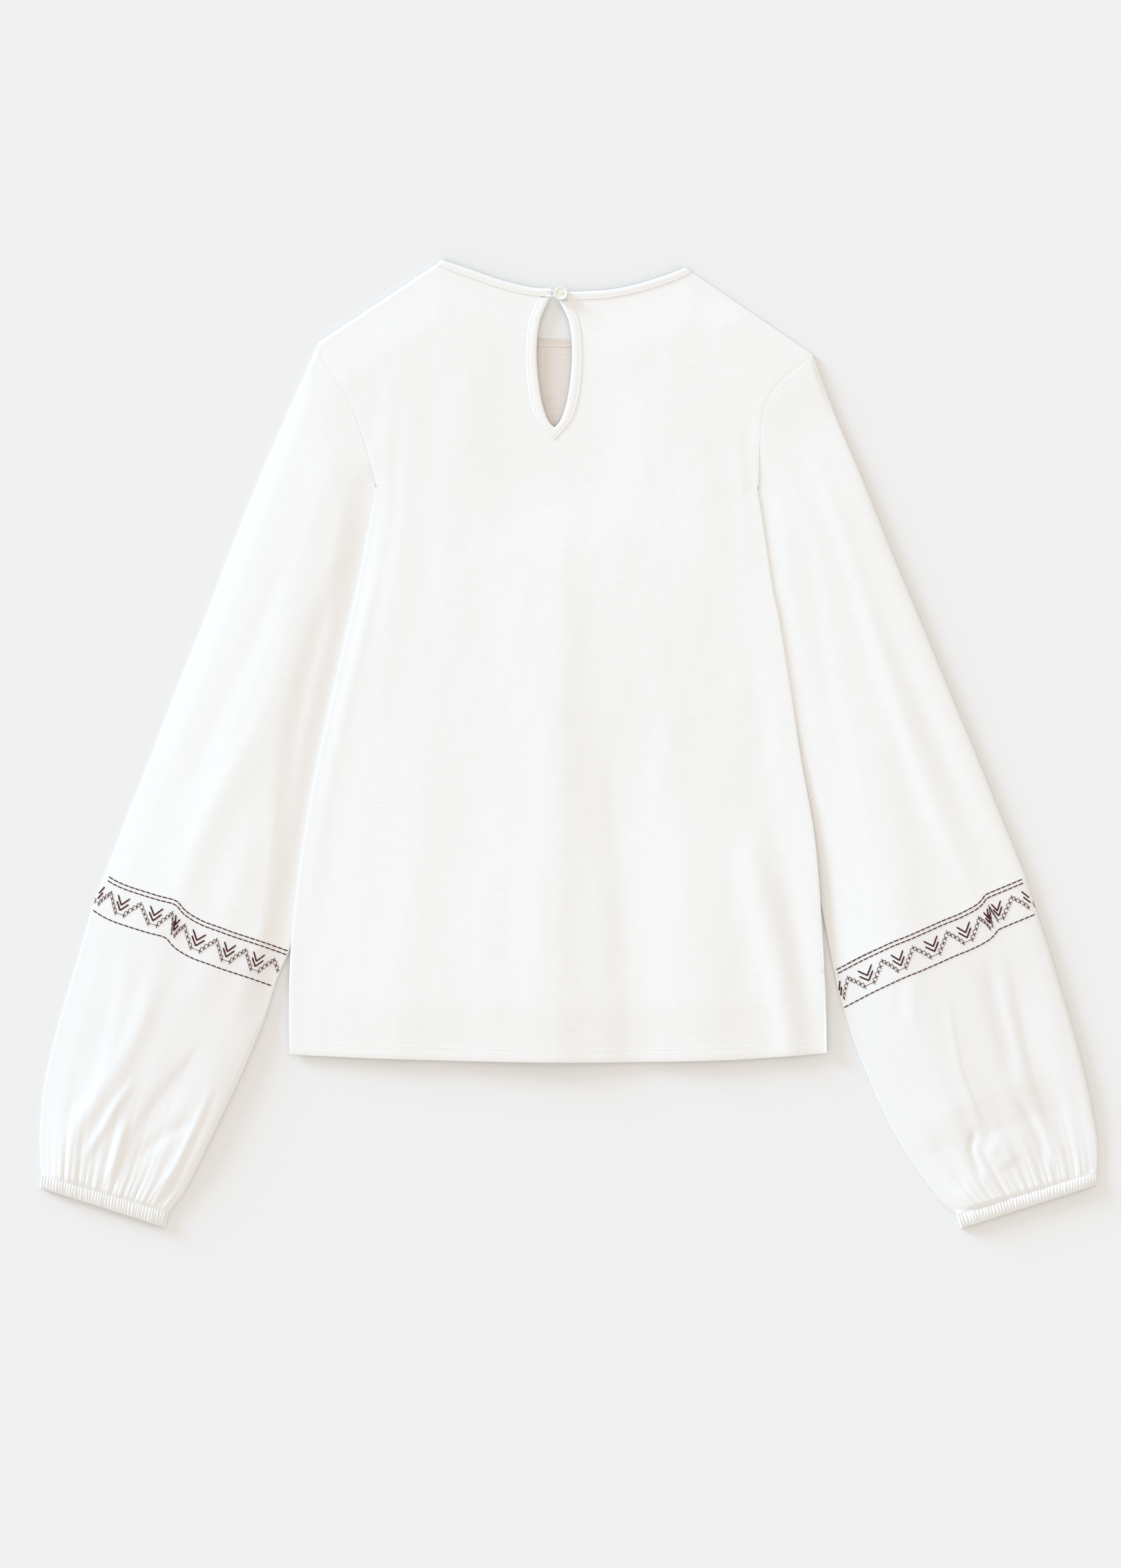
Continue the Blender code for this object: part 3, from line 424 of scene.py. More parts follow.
# %% Tables of the body
EDGE_TOP = 2.7
BACK_MIDDLE = 4.2
BODY_SWELL = 2.2
LOW_SWELL = 0.9
KEYHOLE_TOP = 3.4
FOLD_THICKNESS = 1.3
OVER_SLEEVE_TOP = EDGE_TOP + 1.6
BESIDE_FOLD = {"left": 0.0, "right": 2.0}
FOLD_REACH = {"left": 15.0, "right": 34.0}
AT_FOLD_START = 0.85
UNDER_BACK = 1.15
LAP = 6.0
NECK_BINDING_WIDTH = 6.0
CENTRE_X = -2.0
KEYHOLE_FOOT = (238.6, 229.4)
NECK_POINT = {"left": (-85.3, 364.5), "right": (95.7, 358.8)}
BACK_NECK_LEFT = [(-85.3, 364.5), (-64.0, 357.2), (-41.6, 349.4), (-19.8, 344.2), (-4.8, 343.2)]
BACK_NECK_RIGHT = [
    (-0.5, 341.0), (13.5, 340.9), (38.0, 342.2), (60.3, 346.6), (82.7, 353.6), (95.7, 358.8),
]
FRONT_NECK = [
    (-85.3, 364.5), (-79.0, 344.0), (-63.0, 324.0), (-36.0, 309.5),
    (-2.0, 305.2), (34.0, 308.5), (64.0, 320.5), (86.0, 338.5), (95.7, 358.8),
]
ARMHOLE = {
    "left": [
        (-179.9, 301.6), (-174.5, 286.0), (-165.9, 273.8), (-155.0, 254.8),
        (-146.9, 233.0), (-140.5, 212.0), (-136.2, 194.0), (-132.0, 160.0), (-130.0, 119.6),
    ],
    "right": [
        (192.9, 292.8), (179.4, 283.4), (168.5, 273.8), (160.4, 262.9), (155.5, 250.0),
        (152.4, 224.0), (151.3, 194.0), (144.0, 155.0), (136.0, 119.6),
    ],
}
# The outermost line of each side, with the height of the cloth's upper face on it.
SIDE_FOLD = {
    "left": [
        (-142.0, 160.0, 4.2), (-150.0, 119.6, 4.2), (-156.0, 93.6, 4.2), (-168.0, 41.6, 4.2),
        (-179.4, -10.4, 4.2), (-189.3, -62.4, 4.2), (-196.6, -114.4, 4.2), (-200.4, -153.4, 4.2),
        (-201.6, -190.0, 4.1), (-201.8, -232.8, 4.0),
    ],
    "right": [
        (156.0, 160.0, 5.2), (162.0, 119.6, 5.7), (167.4, 93.6, 5.9), (175.8, 41.6, 5.9),
        (183.6, -10.4, 5.9), (192.9, -62.4, 5.9), (197.0, -102.4, 5.7), (200.0, -150.0, 5.2),
        (201.6, -190.0, 4.6), (202.3, -231.8, 4.2),
    ],
}
HEM = [(-201.8, -232.8), (-120.0, -236.2), (0.0, -238.7), (120.0, -237.2), (202.3, -231.8)]
print("body:", round(HEM[-1][0] - HEM[0][0]), "mm wide at the hem")

# %% [markdown]
# The creases of the back are hardly there: one soft crest down the middle where the two halves were
# smoothed away from each other, folds that fan from the armholes, and pressed-in hollows low down.

# %% Creases of the body
# Points, half width, height, and how much steeper the left side is than the right one.
BODY_CREASES = [
    ([(1.0, 215.0), (1.5, 41.0), (-2.0, -150.0), (-3.5, -420.0)], 28.0, 1.5, 0.35),
    ([(38.0, 60.0), (50.0, -90.0), (58.0, -230.0), (64.0, -420.0)], 24.0, -1.5, -0.35),
    ([(62.0, 285.0), (105.0, 190.0), (138.0, 110.0)], 24.0, 0.8, 0.0),
    ([(-112.0, 290.0), (-118.0, 180.0), (-132.0, 60.0)], 16.0, 0.5, 0.0),
    ([(-95.0, 60.0), (-112.0, -90.0), (-132.0, -400.0)], 34.0, 0.7, 0.0),
    ([(96.0, 20.0), (104.0, -110.0), (116.0, -400.0)], 30.0, 0.8, 0.0),
    ([(-126.0, 300.0), (-127.4, 269.9), (-132.1, 204.9), (-141.4, 145.1), (-149.2, 93.1),
      (-161.0, 41.0), (-172.5, -10.0), (-182.0, -62.0), (-189.0, -114.0), (-194.0, -180.0)],
     8.0, 0.55, 0.0),
    ([(-118.0, 290.0), (-121.0, 204.9), (-131.0, 130.1), (-148.0, 41.0)], 7.0, -0.25, 0.0),
    ([(128.0, 290.0), (131.6, 255.0), (144.6, 165.9), (158.0, 90.0), (172.0, 0.0),
      (186.0, -90.0)], 9.0, 0.5, 0.0),
    ([(136.0, 270.0), (148.0, 200.0), (160.0, 110.0)], 7.0, -0.3, 0.0),
    ([(142.0, -40.0), (152.0, -110.0), (169.0, -178.0), (192.0, -290.0)], 13.0, 1.8, 0.0),
    ([(172.0, -90.0), (180.0, -130.0), (194.0, -187.0), (208.0, -290.0)], 9.0, -1.3, 0.0),
    ([(15.0, -214.0), (32.8, -221.5), (50.0, -233.0)], 3.0, 0.4, 0.3),
    ([(-60.0, 300.0), (-80.0, 180.0), (-76.0, 60.0)], 14.0, 0.3, 0.0),
    ([(60.0, 120.0), (84.0, 10.0), (76.0, -80.0)], 12.0, 0.3, 0.0),
    ([(-40.0, -60.0), (-52.0, -150.0), (-50.0, -360.0)], 15.0, 0.35, 0.0),
]
print("creases of the back:", len(BODY_CREASES))

# %% [markdown]
# ## The cut of the sleeves
#
# Each sleeve is a wide upper tube of jersey and a fuller lower tube of poplin. The tables give the two
# edges of each tube as it lies, and the height of the cloth between them.

# %% Tables of the sleeves
# The outer edge's x and y, the inner edge's x and y, and the height between them.
SLEEVE_UPPER = {
    "left": [
        (-179.9, 301.6, -130.0, 119.6, 4.4), (-202.8, 249.6, -137.0, 84.0, 5.2),
        (-225.2, 197.6, -145.5, 44.0, 5.6), (-246.0, 145.6, -155.0, 4.0, 5.8),
        (-265.7, 93.6, -165.5, -36.0, 6.0), (-286.5, 41.6, -176.5, -76.0, 6.2),
        (-306.3, -10.4, -188.5, -116.0, 6.2), (-323.0, -52.0, -196.5, -140.0, 6.2),
        (-339.6, -95.7, -201.8, -157.0, 6.2),
    ],
    "right": [
        (192.9, 292.8, 136.0, 119.6, 4.4), (209.0, 249.6, 144.0, 86.0, 5.2),
        (230.9, 197.6, 151.5, 52.0, 5.5), (251.7, 145.6, 160.0, 14.0, 5.5),
        (273.5, 93.6, 170.0, -24.0, 5.7), (294.8, 41.6, 182.0, -64.0, 5.9),
        (316.7, -10.4, 194.5, -102.4, 5.9), (335.0, -56.0, 201.6, -136.0, 5.9),
        (352.4, -98.3, 208.0, -169.0, 5.9),
    ],
}
SLEEVE_LOWER = {
    "left": [
        (-339.6, -95.7, -201.8, -157.0, 6.2), (-348.4, -118.0, -211.0, -178.0, 6.2),
        (-358.4, -153.0, -220.6, -208.0, 6.4), (-368.8, -188.0, -235.6, -244.0, 6.6),
        (-379.0, -224.0, -250.6, -276.0, 6.6), (-386.2, -258.0, -265.4, -307.0, 6.4),
        (-389.4, -292.0, -279.0, -334.0, 5.8), (-389.2, -310.0, -286.5, -344.5, 5.2),
        (-388.4, -324.6, -292.4, -352.6, 4.4),
    ],
    "right": [
        (352.4, -98.3, 208.0, -169.0, 5.9), (358.4, -118.0, 213.0, -190.0, 5.9),
        (370.0, -153.0, 223.8, -224.0, 6.0), (380.5, -188.0, 237.8, -258.0, 6.1),
        (391.0, -224.0, 253.4, -291.0, 6.1), (399.5, -258.0, 270.0, -318.0, 6.0),
        (406.0, -292.0, 286.0, -340.0, 4.8), (407.2, -309.0, 294.0, -348.6, 4.8),
        (406.8, -322.2, 300.6, -353.8, 4.4),
    ],
}

# %% [markdown]
# ## The line of the border
#
# The embroidered border crosses each sleeve a little below the seam between its two tubes. Where the
# cloth ducks into a fold, the border ducks with it. The line is its middle, with a point at every half
# repeat of the pattern, and `BORDER_UP` is half its width towards the shoulder.

# %% Tables of the border
BORDER_MIDDLE = {
    "left": [
        (-344.5, -111.3), (-337.0, -116.0), (-327.6, -120.1), (-314.6, -124.3), (-302.6, -127.9),
        (-290.7, -131.0), (-286.8, -135.2), (-281.3, -140.4), (-270.4, -146.6), (-257.4, -151.3),
        (-247.5, -155.0), (-235.6, -158.9), (-225.7, -162.2), (-214.2, -166.4), (-204.4, -170.0),
    ],
    "right": [
        (212.2, -184.3), (220.5, -179.8), (233.0, -173.1), (246.0, -166.8), (256.9, -161.7),
        (269.1, -156.9), (282.4, -151.1), (294.8, -145.6), (306.8, -140.8), (318.8, -134.6),
        (324.2, -130.0), (326.6, -126.4), (330.7, -124.4), (343.5, -119.1), (354.6, -114.5),
    ],
}
BORDER_UP = {"left": (4.2, 13.8), "right": (-4.8, 13.2)}
SEAM_ABOVE_BORDER = 1.06
print("border:", len(BORDER_MIDDLE["left"]) // 2, "repeats on each sleeve")


def border_top(side):
    """The line of the seam just above the border, in the order of the sleeve's outer to inner edge."""
    middle = np.asarray(BORDER_MIDDLE[side]) + np.asarray(BORDER_UP[side]) * SEAM_ABOVE_BORDER
    return middle if side == "left" else middle[::-1]


# %% [markdown]
# ## Where panel and sleeve meet
#
# The armhole seam is shared: the body ends on its inner side and the sleeve starts on its outer side.
# Above the side fold both have their edge on it. Below it the sleeve lies under the body.

# %% Shared seams
SEAM_GAP = 0.02


def armhole_points(side, shares, into_body):
    """Points beside the armhole seam, this far from it towards the body."""
    seam = smooth_line(ARMHOLE[side], 6)
    points = along(seam, shares)
    run = along(seam, np.asarray(shares) + 0.01) - along(seam, np.asarray(shares) - 0.01)
    run /= np.linalg.norm(run, axis=1)[:, None]
    across = np.stack([run[:, 1], -run[:, 0]], axis=-1)
    across *= np.sign(across[:, :1] * inwards(side))
    return points + across * into_body


def sleeve_edges(stations):
    table = np.asarray(stations)
    return smooth_line(table[:, 0:2]), smooth_line(table[:, 2:4])


def fold_start_share(side):
    """How far down the armhole seam the side fold begins."""
    tip, underarm = np.asarray(ARMHOLE[side][0]), np.asarray(ARMHOLE[side][-1])
    edge = EDGE_TOP / 2 / np.hypot(*(underarm - tip))
    return mix(edge, 1.0 - edge, 11 / 18)


def fold_line(side):
    start = armhole_points(side, [fold_start_share(side)], 0.15)[0]
    return smooth_line([(*start, OVER_SLEEVE_TOP), *SIDE_FOLD[side]])


FOLD = {side: fold_line(side) for side in SIDES}
SLEEVE_INNER = {side: np.vstack([smooth_line(ARMHOLE[side]), sleeve_edges(SLEEVE_UPPER[side])[1][1:]])
                for side in SIDES}


def sleeve_beside_fold(side, y):
    """The height of the sleeve where the body lies on it, a little higher where the side fold begins."""
    from_start = (FOLD[side][0, 1] - y) / 60.0
    return EDGE_TOP + mix(BESIDE_FOLD[side], AT_FOLD_START, smoothstep(1.0 - from_start))


def fold_radius(side, y, top):
    """Half of what the side fold measures from top to bottom. It begins as nothing at the armhole."""
    return np.minimum(top - sleeve_beside_fold(side, y) - 0.15, FOLD_THICKNESS) / 2


def at_level(line, y, column):
    """A column of a line that falls in y, read at any level."""
    return np.interp(-y, -line[:, 1], line[:, column])


# %% Edges of the neck and the shoulders
def shoulder_direction(side):
    run = np.asarray(ARMHOLE[side][0]) - np.asarray(NECK_POINT[side])
    return run / np.hypot(*run)


def binding_directions(edge, first, last):
    """The direction across a binding at each point of its edge, turned to the given ones at its ends."""
    run = np.gradient(edge, axis=0)
    run /= np.linalg.norm(run, axis=1)[:, None]
    across = np.stack([run[:, 1], -run[:, 0]], axis=-1)
    share = np.linspace(0.0, 1.0, len(edge))[:, None]
    across = mix(across, np.asarray(first), 1.0 - smoothstep(share / 0.25))
    across = mix(across, np.asarray(last), smoothstep((share - 0.75) / 0.25))
    return across / np.linalg.norm(across, axis=1)[:, None]


def back_neck_runs():
    left, right = smooth_line(BACK_NECK_LEFT), smooth_line(BACK_NECK_RIGHT)
    down = (0.0, -1.0)
    return ((left, binding_directions(left, shoulder_direction("left"), down)),
            (right, binding_directions(right, down, shoulder_direction("right"))))


def front_neck_run():
    edge = smooth_line(FRONT_NECK)
    return edge, binding_directions(edge, shoulder_direction("left"), shoulder_direction("right"))


def shoulder_line(side):
    start = np.asarray(NECK_POINT[side]) + shoulder_direction(side) * (NECK_BINDING_WIDTH - 1.0)
    end = armhole_points(side, [0.0], SEAM_GAP)[0]
    return np.linspace(start, end, 12)


def panel_top(runs):
    """A panel's upper edge from shoulder tip to shoulder tip, reaching a little under the binding."""
    neck = np.vstack([edge + across * (NECK_BINDING_WIDTH - 1.0) for edge, across in runs])
    return np.vstack([shoulder_line("left")[::-1], neck[1:-1], shoulder_line("right")])


BACK_TOP_EDGE = panel_top(back_neck_runs())
print("back neck and shoulders:", round(float(distances(BACK_TOP_EDGE)[-1])), "mm")

# %% [markdown]
# ## The height of the back
#
# The panel swells a little between its sides, most of all low down, where the two layers hold air. To
# that come its creases and some soft waves. Towards the sides, the armholes, the slit, the hem and the
# neck its height fades to the height that the sewing or the fold gives it there.

# %% Height of the back
SWELL_START, SWELL_RUN = 235.0, 150.0
LOW_SWELL_START, LOW_SWELL_RUN = -40.0, 120.0
SWELL_HALF_WIDTH = 190.0
ABOVE_FOLD_RUN, BESIDE_SEAM_RUN = 45.0, 12.0
SLIT_REACH, SLIT_RUN = 24.0, 45.0
BELOW_SLIT, BELOW_SLIT_RUN = 90.0, 75.0
HEM_DROP, HEM_RUN = 1.9, 48.0
NECK_RUN, RIGHT_SHOULDER_RUN = 46.0, 12.0


def back_height(x, y):
    """The height of the back panel's upper face."""
    swell = BODY_SWELL * smoothstep((SWELL_START - y) / SWELL_RUN)
    swell += LOW_SWELL * smoothstep((LOW_SWELL_START - y) / LOW_SWELL_RUN)
    height = BACK_MIDDLE + swell * np.clip(1.0 - (x / SWELL_HALF_WIDTH) ** 2, 0.0, 1.0)
    height += crease_height(x, y, BODY_CREASES)
    height += 0.20 * wander(x, y * 0.45, 34.0, 3) + 0.08 * wander(x, y * 0.6, 13.0, 4)
    for side in SIDES:
        fold, sign = FOLD[side], inwards(side)
        from_edge = (x - at_level(fold, y, 0)) * sign
        below = mix(at_level(fold, y, 2), height, smoothstep(from_edge / FOLD_REACH[side]))
        seam_height = mix(OVER_SLEEVE_TOP, height, smoothstep((y - fold[0, 1]) / ABOVE_FOLD_RUN))
        above = mix(seam_height, height, smoothstep(from_edge / BESIDE_SEAM_RUN))
        near = (x - CENTRE_X) * sign < 0
        height = np.where(near, np.where(y > fold[0, 1], above, below), height)
    beside_slit = 1.0 - smoothstep((np.abs(x - CENTRE_X) - SLIT_REACH) / SLIT_RUN)
    level_with_slit = smoothstep((y - KEYHOLE_FOOT[1] + BELOW_SLIT) / BELOW_SLIT_RUN)
    height = mix(height, KEYHOLE_TOP, beside_slit * level_with_slit)
    hem_x, hem_y = zip(*HEM)
    hem_level = np.interp(x, hem_x, hem_y)
    sides_less = np.clip(1.2 - (x / 200.0) ** 2, 0.4, 1.0)
    height -= HEM_DROP * (1.0 - smoothstep((y - hem_level) / HEM_RUN)) * sides_less
    neck_reach = mix(NECK_RUN, RIGHT_SHOULDER_RUN, smoothstep((x - 100.0) / 40.0))
    top = np.interp(x, BACK_TOP_EDGE[:, 0], BACK_TOP_EDGE[:, 1])
    return mix(EDGE_TOP, height, smoothstep((top - y) / neck_reach))


# %% [markdown]
# ## The back panel
#
# The sheet is a patch between its four edges. Where it ends in a seam its last millimetre turns down,
# which draws the seam as a fine line. At the hem and the shoulders it rolls over as sewn cloth does, and
# at each side it folds under, runs back over the sleeve and laps onto the front panel.

# %% Back panel sheet
BACK_COLUMNS, ARM_ROWS, FOLD_ROWS = 150, 46, 110
FIRST_FOLD_ROW = ARM_ROWS - 1


def side_shifts(left, right, top, hem, v):
    """How far a panel's sides stand off the straight lines between the ends of its top and hem."""
    return (left[:, None] - mix(top[:, :1], hem[:, :1], v),
            right[:, None] - mix(top[:, -1:], hem[:, -1:], v))


def back_sheet():
    """The back from above: rows from the shoulders down to the hem, columns from side to side."""
    sides = []
    for side in SIDES:
        arm_shares = np.linspace(0.0, 1.0, ARM_ROWS) * fold_start_share(side)
        fold = along(FOLD[side], np.linspace(0.0, 1.0, FOLD_ROWS))
        fold[:, 0] += inwards(side) * fold_radius(side, fold[:, 1], fold[:, 2])
        sides.append(np.vstack([armhole_points(side, arm_shares, SEAM_GAP)[:-1], fold[:, :2]]))
    left, right = sides
    v = ((left[0, 1] - left[:, 1]) / (left[0, 1] - left[-1, 1]))[:, None, None]
    u = np.linspace(0.0, 1.0, BACK_COLUMNS)
    top = along(BACK_TOP_EDGE, u)[None]
    hem_line = smooth_line(HEM)
    inner = hem_line[(hem_line[:, 0] > left[-1, 0]) & (hem_line[:, 0] < right[-1, 0])]
    hem = along(np.vstack([left[-1], inner, right[-1]]), u)[None]
    return mix(top, hem, v) + mix(*side_shifts(left, right, top, hem, v), u[None, :, None])


# %% Rolled and folded edges
HEM_ROLL = 0.55
# How far out and how far down each row of the shoulder's edge goes, from the lowest up.
SHOULDER_ROLL = ((1.0, 2.1), (0.95, 1.5), (0.75, 0.9), (0.42, 0.35), (0.15, 0.08))


def outwards_from(edge, neighbours):
    """The direction in which the sheet ends at each point of an edge."""
    out = edge[:, :2] - neighbours[:, :2]
    return out / np.linalg.norm(out, axis=1)[:, None]


def rolled_hem(points, depth):
    """Rows past the last one that roll the edge over and take it back underneath."""
    last = points[-1]
    out = outwards_from(last, points[-2])
    rows = []
    for degrees in (35, 70, 110, 145, 180):
        turn = math.radians(degrees)
        rows.append(np.column_stack([last[:, :2] + out * HEM_ROLL * math.sin(turn),
                                     last[:, 2] - HEM_ROLL + HEM_ROLL * math.cos(turn)]))
    for back in (3.0, 6.0, depth):
        rows.append(np.column_stack([last[:, :2] - out * back, last[:, 2] - 2 * HEM_ROLL]))
    return np.concatenate([points, np.array(rows)])


def rolled_shoulder(points):
    """Rows before the first one that bring the shoulder edge down onto the front panel."""
    first = points[0]
    out = outwards_from(first, points[1])
    on_shoulder = np.maximum(smoothstep((NECK_POINT["left"][0] - 2.0 - first[:, 0]) / 6.0),
                             smoothstep((first[:, 0] - NECK_POINT["right"][0] - 2.0) / 6.0))
    rows = []
    for reach, drop in SHOULDER_ROLL:
        shift = out * (reach * mix(0.3, 1.0, on_shoulder))[:, None]
        rows.append(np.column_stack([first[:, :2] + shift,
                                     first[:, 2] - drop * mix(0.12, 1.0, on_shoulder)]))
    return np.concatenate([np.array(rows), points])


# %% [markdown]
# Beside the fold the sheet doubles back in a half round and follows the underside of the back, clear of
# it, until it has passed the sleeve. There it drops onto the front panel, where the side seam would be.

# %% Side folds
LAP_HEIGHT = 1.3


def side_hairpin(side, edge):
    """Columns beyond the side that round the fold, return beneath it and lap onto the front panel."""
    radius, sign = fold_radius(side, edge[:, 1], edge[:, 2]), inwards(side)
    columns = []
    for degrees in (22, 45, 67, 90, 112, 135, 157, 180):
        turn = math.radians(degrees)
        columns.append(np.column_stack([edge[:, 0] - sign * radius * math.sin(turn), edge[:, 1],
                                        edge[:, 2] - radius + radius * math.cos(turn)]))
    seam_x = at_level(SLEEVE_INNER[side], edge[:, 1], 0)
    reach = np.maximum(sign * (seam_x - edge[:, 0]) + 0.8, 1.0)
    foot = edge[:, 2] - 2 * radius
    for share in (0.15, 0.33, 0.5, 0.66, 0.83, 1.0):
        x = edge[:, 0] + sign * reach * share
        below = np.minimum(foot, back_height(x, edge[:, 1]) - UNDER_BACK)
        columns.append(np.column_stack([x, edge[:, 1], mix(foot, below, min(share * 3, 1.0))]))
    for share in (0.5, 1.0):
        columns.append(np.column_stack([edge[:, 0] + sign * (reach + LAP * share), edge[:, 1],
                                        mix(below, LAP_HEIGHT, share)]))
    return np.stack(columns, axis=1)


def turn_down(points, side_rows):
    """The last millimetre beside an armhole seam turns down."""
    for column, near in ((0, 1), (-1, -2)):
        points[:side_rows, column, 2] -= 0.1
        side, beside = points[:side_rows, column], points[:side_rows, near]
        beside[:, :2] = mix(side[:, :2], beside[:, :2], 0.45)
    return points


# %% Back panel
HEM_DEPTH = 9.0
MERGE_DISTANCE = 0.02

plan = back_sheet()
sheet = turn_down(np.dstack([plan, back_height(plan[..., 0], plan[..., 1])]), FIRST_FOLD_ROW)
rolled = rolled_shoulder(rolled_hem(sheet, HEM_DEPTH))[::-1]
back_parts = [grid_piece("back_panel_cloth", rolled, rolled[..., :2])]
for side, column in (("left", 0), ("right", -1)):
    edge = sheet[FIRST_FOLD_ROW:, column]
    strip = np.concatenate([edge[:, None], side_hairpin(side, edge)], axis=1)[::-1]
    strip = strip[:, ::-1] if side == "left" else strip
    back_parts.append(grid_piece(f"{side}_fold", strip, strip[..., :2]))
back_piece = join(back_parts)
bpy.ops.object.mode_set(mode="EDIT")
bpy.ops.mesh.select_all(action="SELECT")
bpy.ops.mesh.remove_doubles(threshold=MERGE_DISTANCE * MM)
bpy.ops.object.mode_set(mode="OBJECT")
print("back panel:", len(back_piece.data.vertices), "points")

# %% [markdown]
# ## The keyhole
#
# The slit is cut from the finished sheet, as scissors would, with an exact boolean. Its outline lies
# just inside the outer edge of the binding, which then covers the raw edge.

# %% Outline of the keyhole
# Level, then half the width at the binding's inner and at its outer edge.
KEYHOLE = [
    (336.6, 3.4, 11.2), (330.0, 6.6, 14.4), (320.0, 10.7, 18.2), (308.0, 12.9, 20.3), (292.0, 13.5, 21.0),
    (276.0, 12.4, 20.2), (260.0, 10.0, 18.0), (247.5, 6.4, 14.4), (241.5, 3.2, 10.8),
]
RIGHT_SIDE_DROP = 2.3


def keyhole_edge(column, foot):
    """One edge of the keyhole's binding, down its left side and up its right."""
    left = smooth_line([(CENTRE_X - row[column], row[0]) for row in KEYHOLE])
    top, dropping = KEYHOLE[0][0], KEYHOLE[2][0]
    right = left[::-1].copy()
    right[:, 0] = 2 * CENTRE_X - right[:, 0]
    right[:, 1] -= RIGHT_SIDE_DROP * np.maximum(0.0, (right[:, 1] - dropping) / (top - dropping))
    return np.vstack([left, [(CENTRE_X, foot)], right])


KEYHOLE_INNER, KEYHOLE_OUTER = keyhole_edge(1, KEYHOLE_FOOT[0]), keyhole_edge(2, KEYHOLE_FOOT[1])
print("keyhole:", round(2 * max(row[1] for row in KEYHOLE)), "mm wide inside its binding")


# %% Cutting a hole
def face_outwards(obj):
    """Turns all faces of a closed piece outwards."""
    select_only(obj)
    bpy.ops.object.mode_set(mode="EDIT")
    bpy.ops.mesh.select_all(action="SELECT")
    bpy.ops.mesh.normals_make_consistent(inside=False)
    bpy.ops.object.mode_set(mode="OBJECT")


def take_away(obj, cutter):
    """Cuts the cutter out of a piece and removes it."""
    select_only(obj)
    hole = obj.modifiers.new("hole", "BOOLEAN")
    hole.operation, hole.solver, hole.object = "DIFFERENCE", "EXACT", cutter
    bpy.ops.object.modifier_apply(modifier=hole.name)
    bpy.data.objects.remove(cutter)


def slit_cutter(outline):
    """A block with straight walls over that outline, from below the cloth to above it."""
    count = len(outline)
    verts = [(x, y, z) for z in (-4.0, 14.0) for x, y in outline]
    faces = [[k, (k + 1) % count, count + (k + 1) % count, count + k] for k in range(count)]
    faces += [list(range(count))[::-1], list(range(count, 2 * count))]
    cutter = mesh_piece("cutter", verts, faces)
    face_outwards(cutter)
    return cutter


# %% Slit of the back
as_cloth(back_piece, JERSEY)
slit = mix(KEYHOLE_OUTER, KEYHOLE_INNER, 0.14)
past_neck = np.array([0.0, 20.0])
take_away(back_piece, slit_cutter(np.vstack([slit[:1] + past_neck, slit, slit[-1:] + past_neck])))
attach(back_piece, "root")
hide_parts("back_panel")
print("back panel cut:", len(back_piece.data.polygons), "faces")

# %% [markdown]
# ## The front panel
#
# It lies flat on the surface, with its right side down and its inner side up. All that shows of it is
# the piece behind the keyhole, in the shade of the back. That shade is painted into its colour: it gets a
# darker, warmer jersey with painted shade.

# %% Front panel
FRONT_COLUMNS, FRONT_ROWS = 120, 90
FRONT_HEIGHT = 0.62
UNDERARM_LEVEL, HEM_LEVEL = 110.0, -231.0


def front_side(side):
    """The front panel's side from the shoulder tip down the armhole and the hidden side seam."""
    seam = armhole_points(side, np.linspace(0.0, 1.0, 24), SEAM_GAP)
    levels = np.linspace(UNDERARM_LEVEL, HEM_LEVEL, 40)
    under_sleeve = at_level(SLEEVE_INNER[side], levels, 0) + inwards(side) * 0.3
    under_fold = at_level(FOLD[side], levels, 0) + inwards(side) * 0.7
    inner = np.maximum if side == "left" else np.minimum
    return np.vstack([seam, np.column_stack([inner(under_sleeve, under_fold), levels])])


rows = np.linspace(0.0, 1.0, FRONT_ROWS)
v, u = rows[:, None, None], np.linspace(0.0, 1.0, FRONT_COLUMNS)[None, :, None]
left_line, right_line = (along(front_side(side), rows) for side in SIDES)
top_line = along(panel_top([front_neck_run()]), np.linspace(0, 1, FRONT_COLUMNS))[None]
bottom_line = along(smooth_line(HEM), np.linspace(0.003, 0.997, FRONT_COLUMNS))[None]
left_shift, right_shift = side_shifts(left_line, right_line, top_line, bottom_line, v)
front_plan = mix(top_line, bottom_line, v) + left_shift * (1.0 - u) ** 4 + right_shift * u**4
step_across, step_down = np.diff(front_plan[:-1], axis=1), np.diff(front_plan[:, :-1], axis=0)
turned = step_across[..., 0] * step_down[..., 1] - step_across[..., 1] * step_down[..., 0]
print("front panel: patches turned over:", int((turned >= 0).sum()))
front_z = FRONT_HEIGHT + 0.10 * wander(front_plan[..., 0], front_plan[..., 1], 30.0, 8)
front_points = np.dstack([front_plan, front_z])
front_piece = as_cloth(grid_piece("front_panel_cloth", front_points[::-1], front_plan[::-1]), JERSEY_PAINTED_SHADE)
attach(front_piece, "root")
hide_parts("front_panel")

# %% [markdown]
# ## Sleeve creases
#
# Each sleeve has its own creases, laid over both of its tubes so that they run on through the seam.
# The light comes from the upper left, so a ridge is bright on its left side and dark on its right.

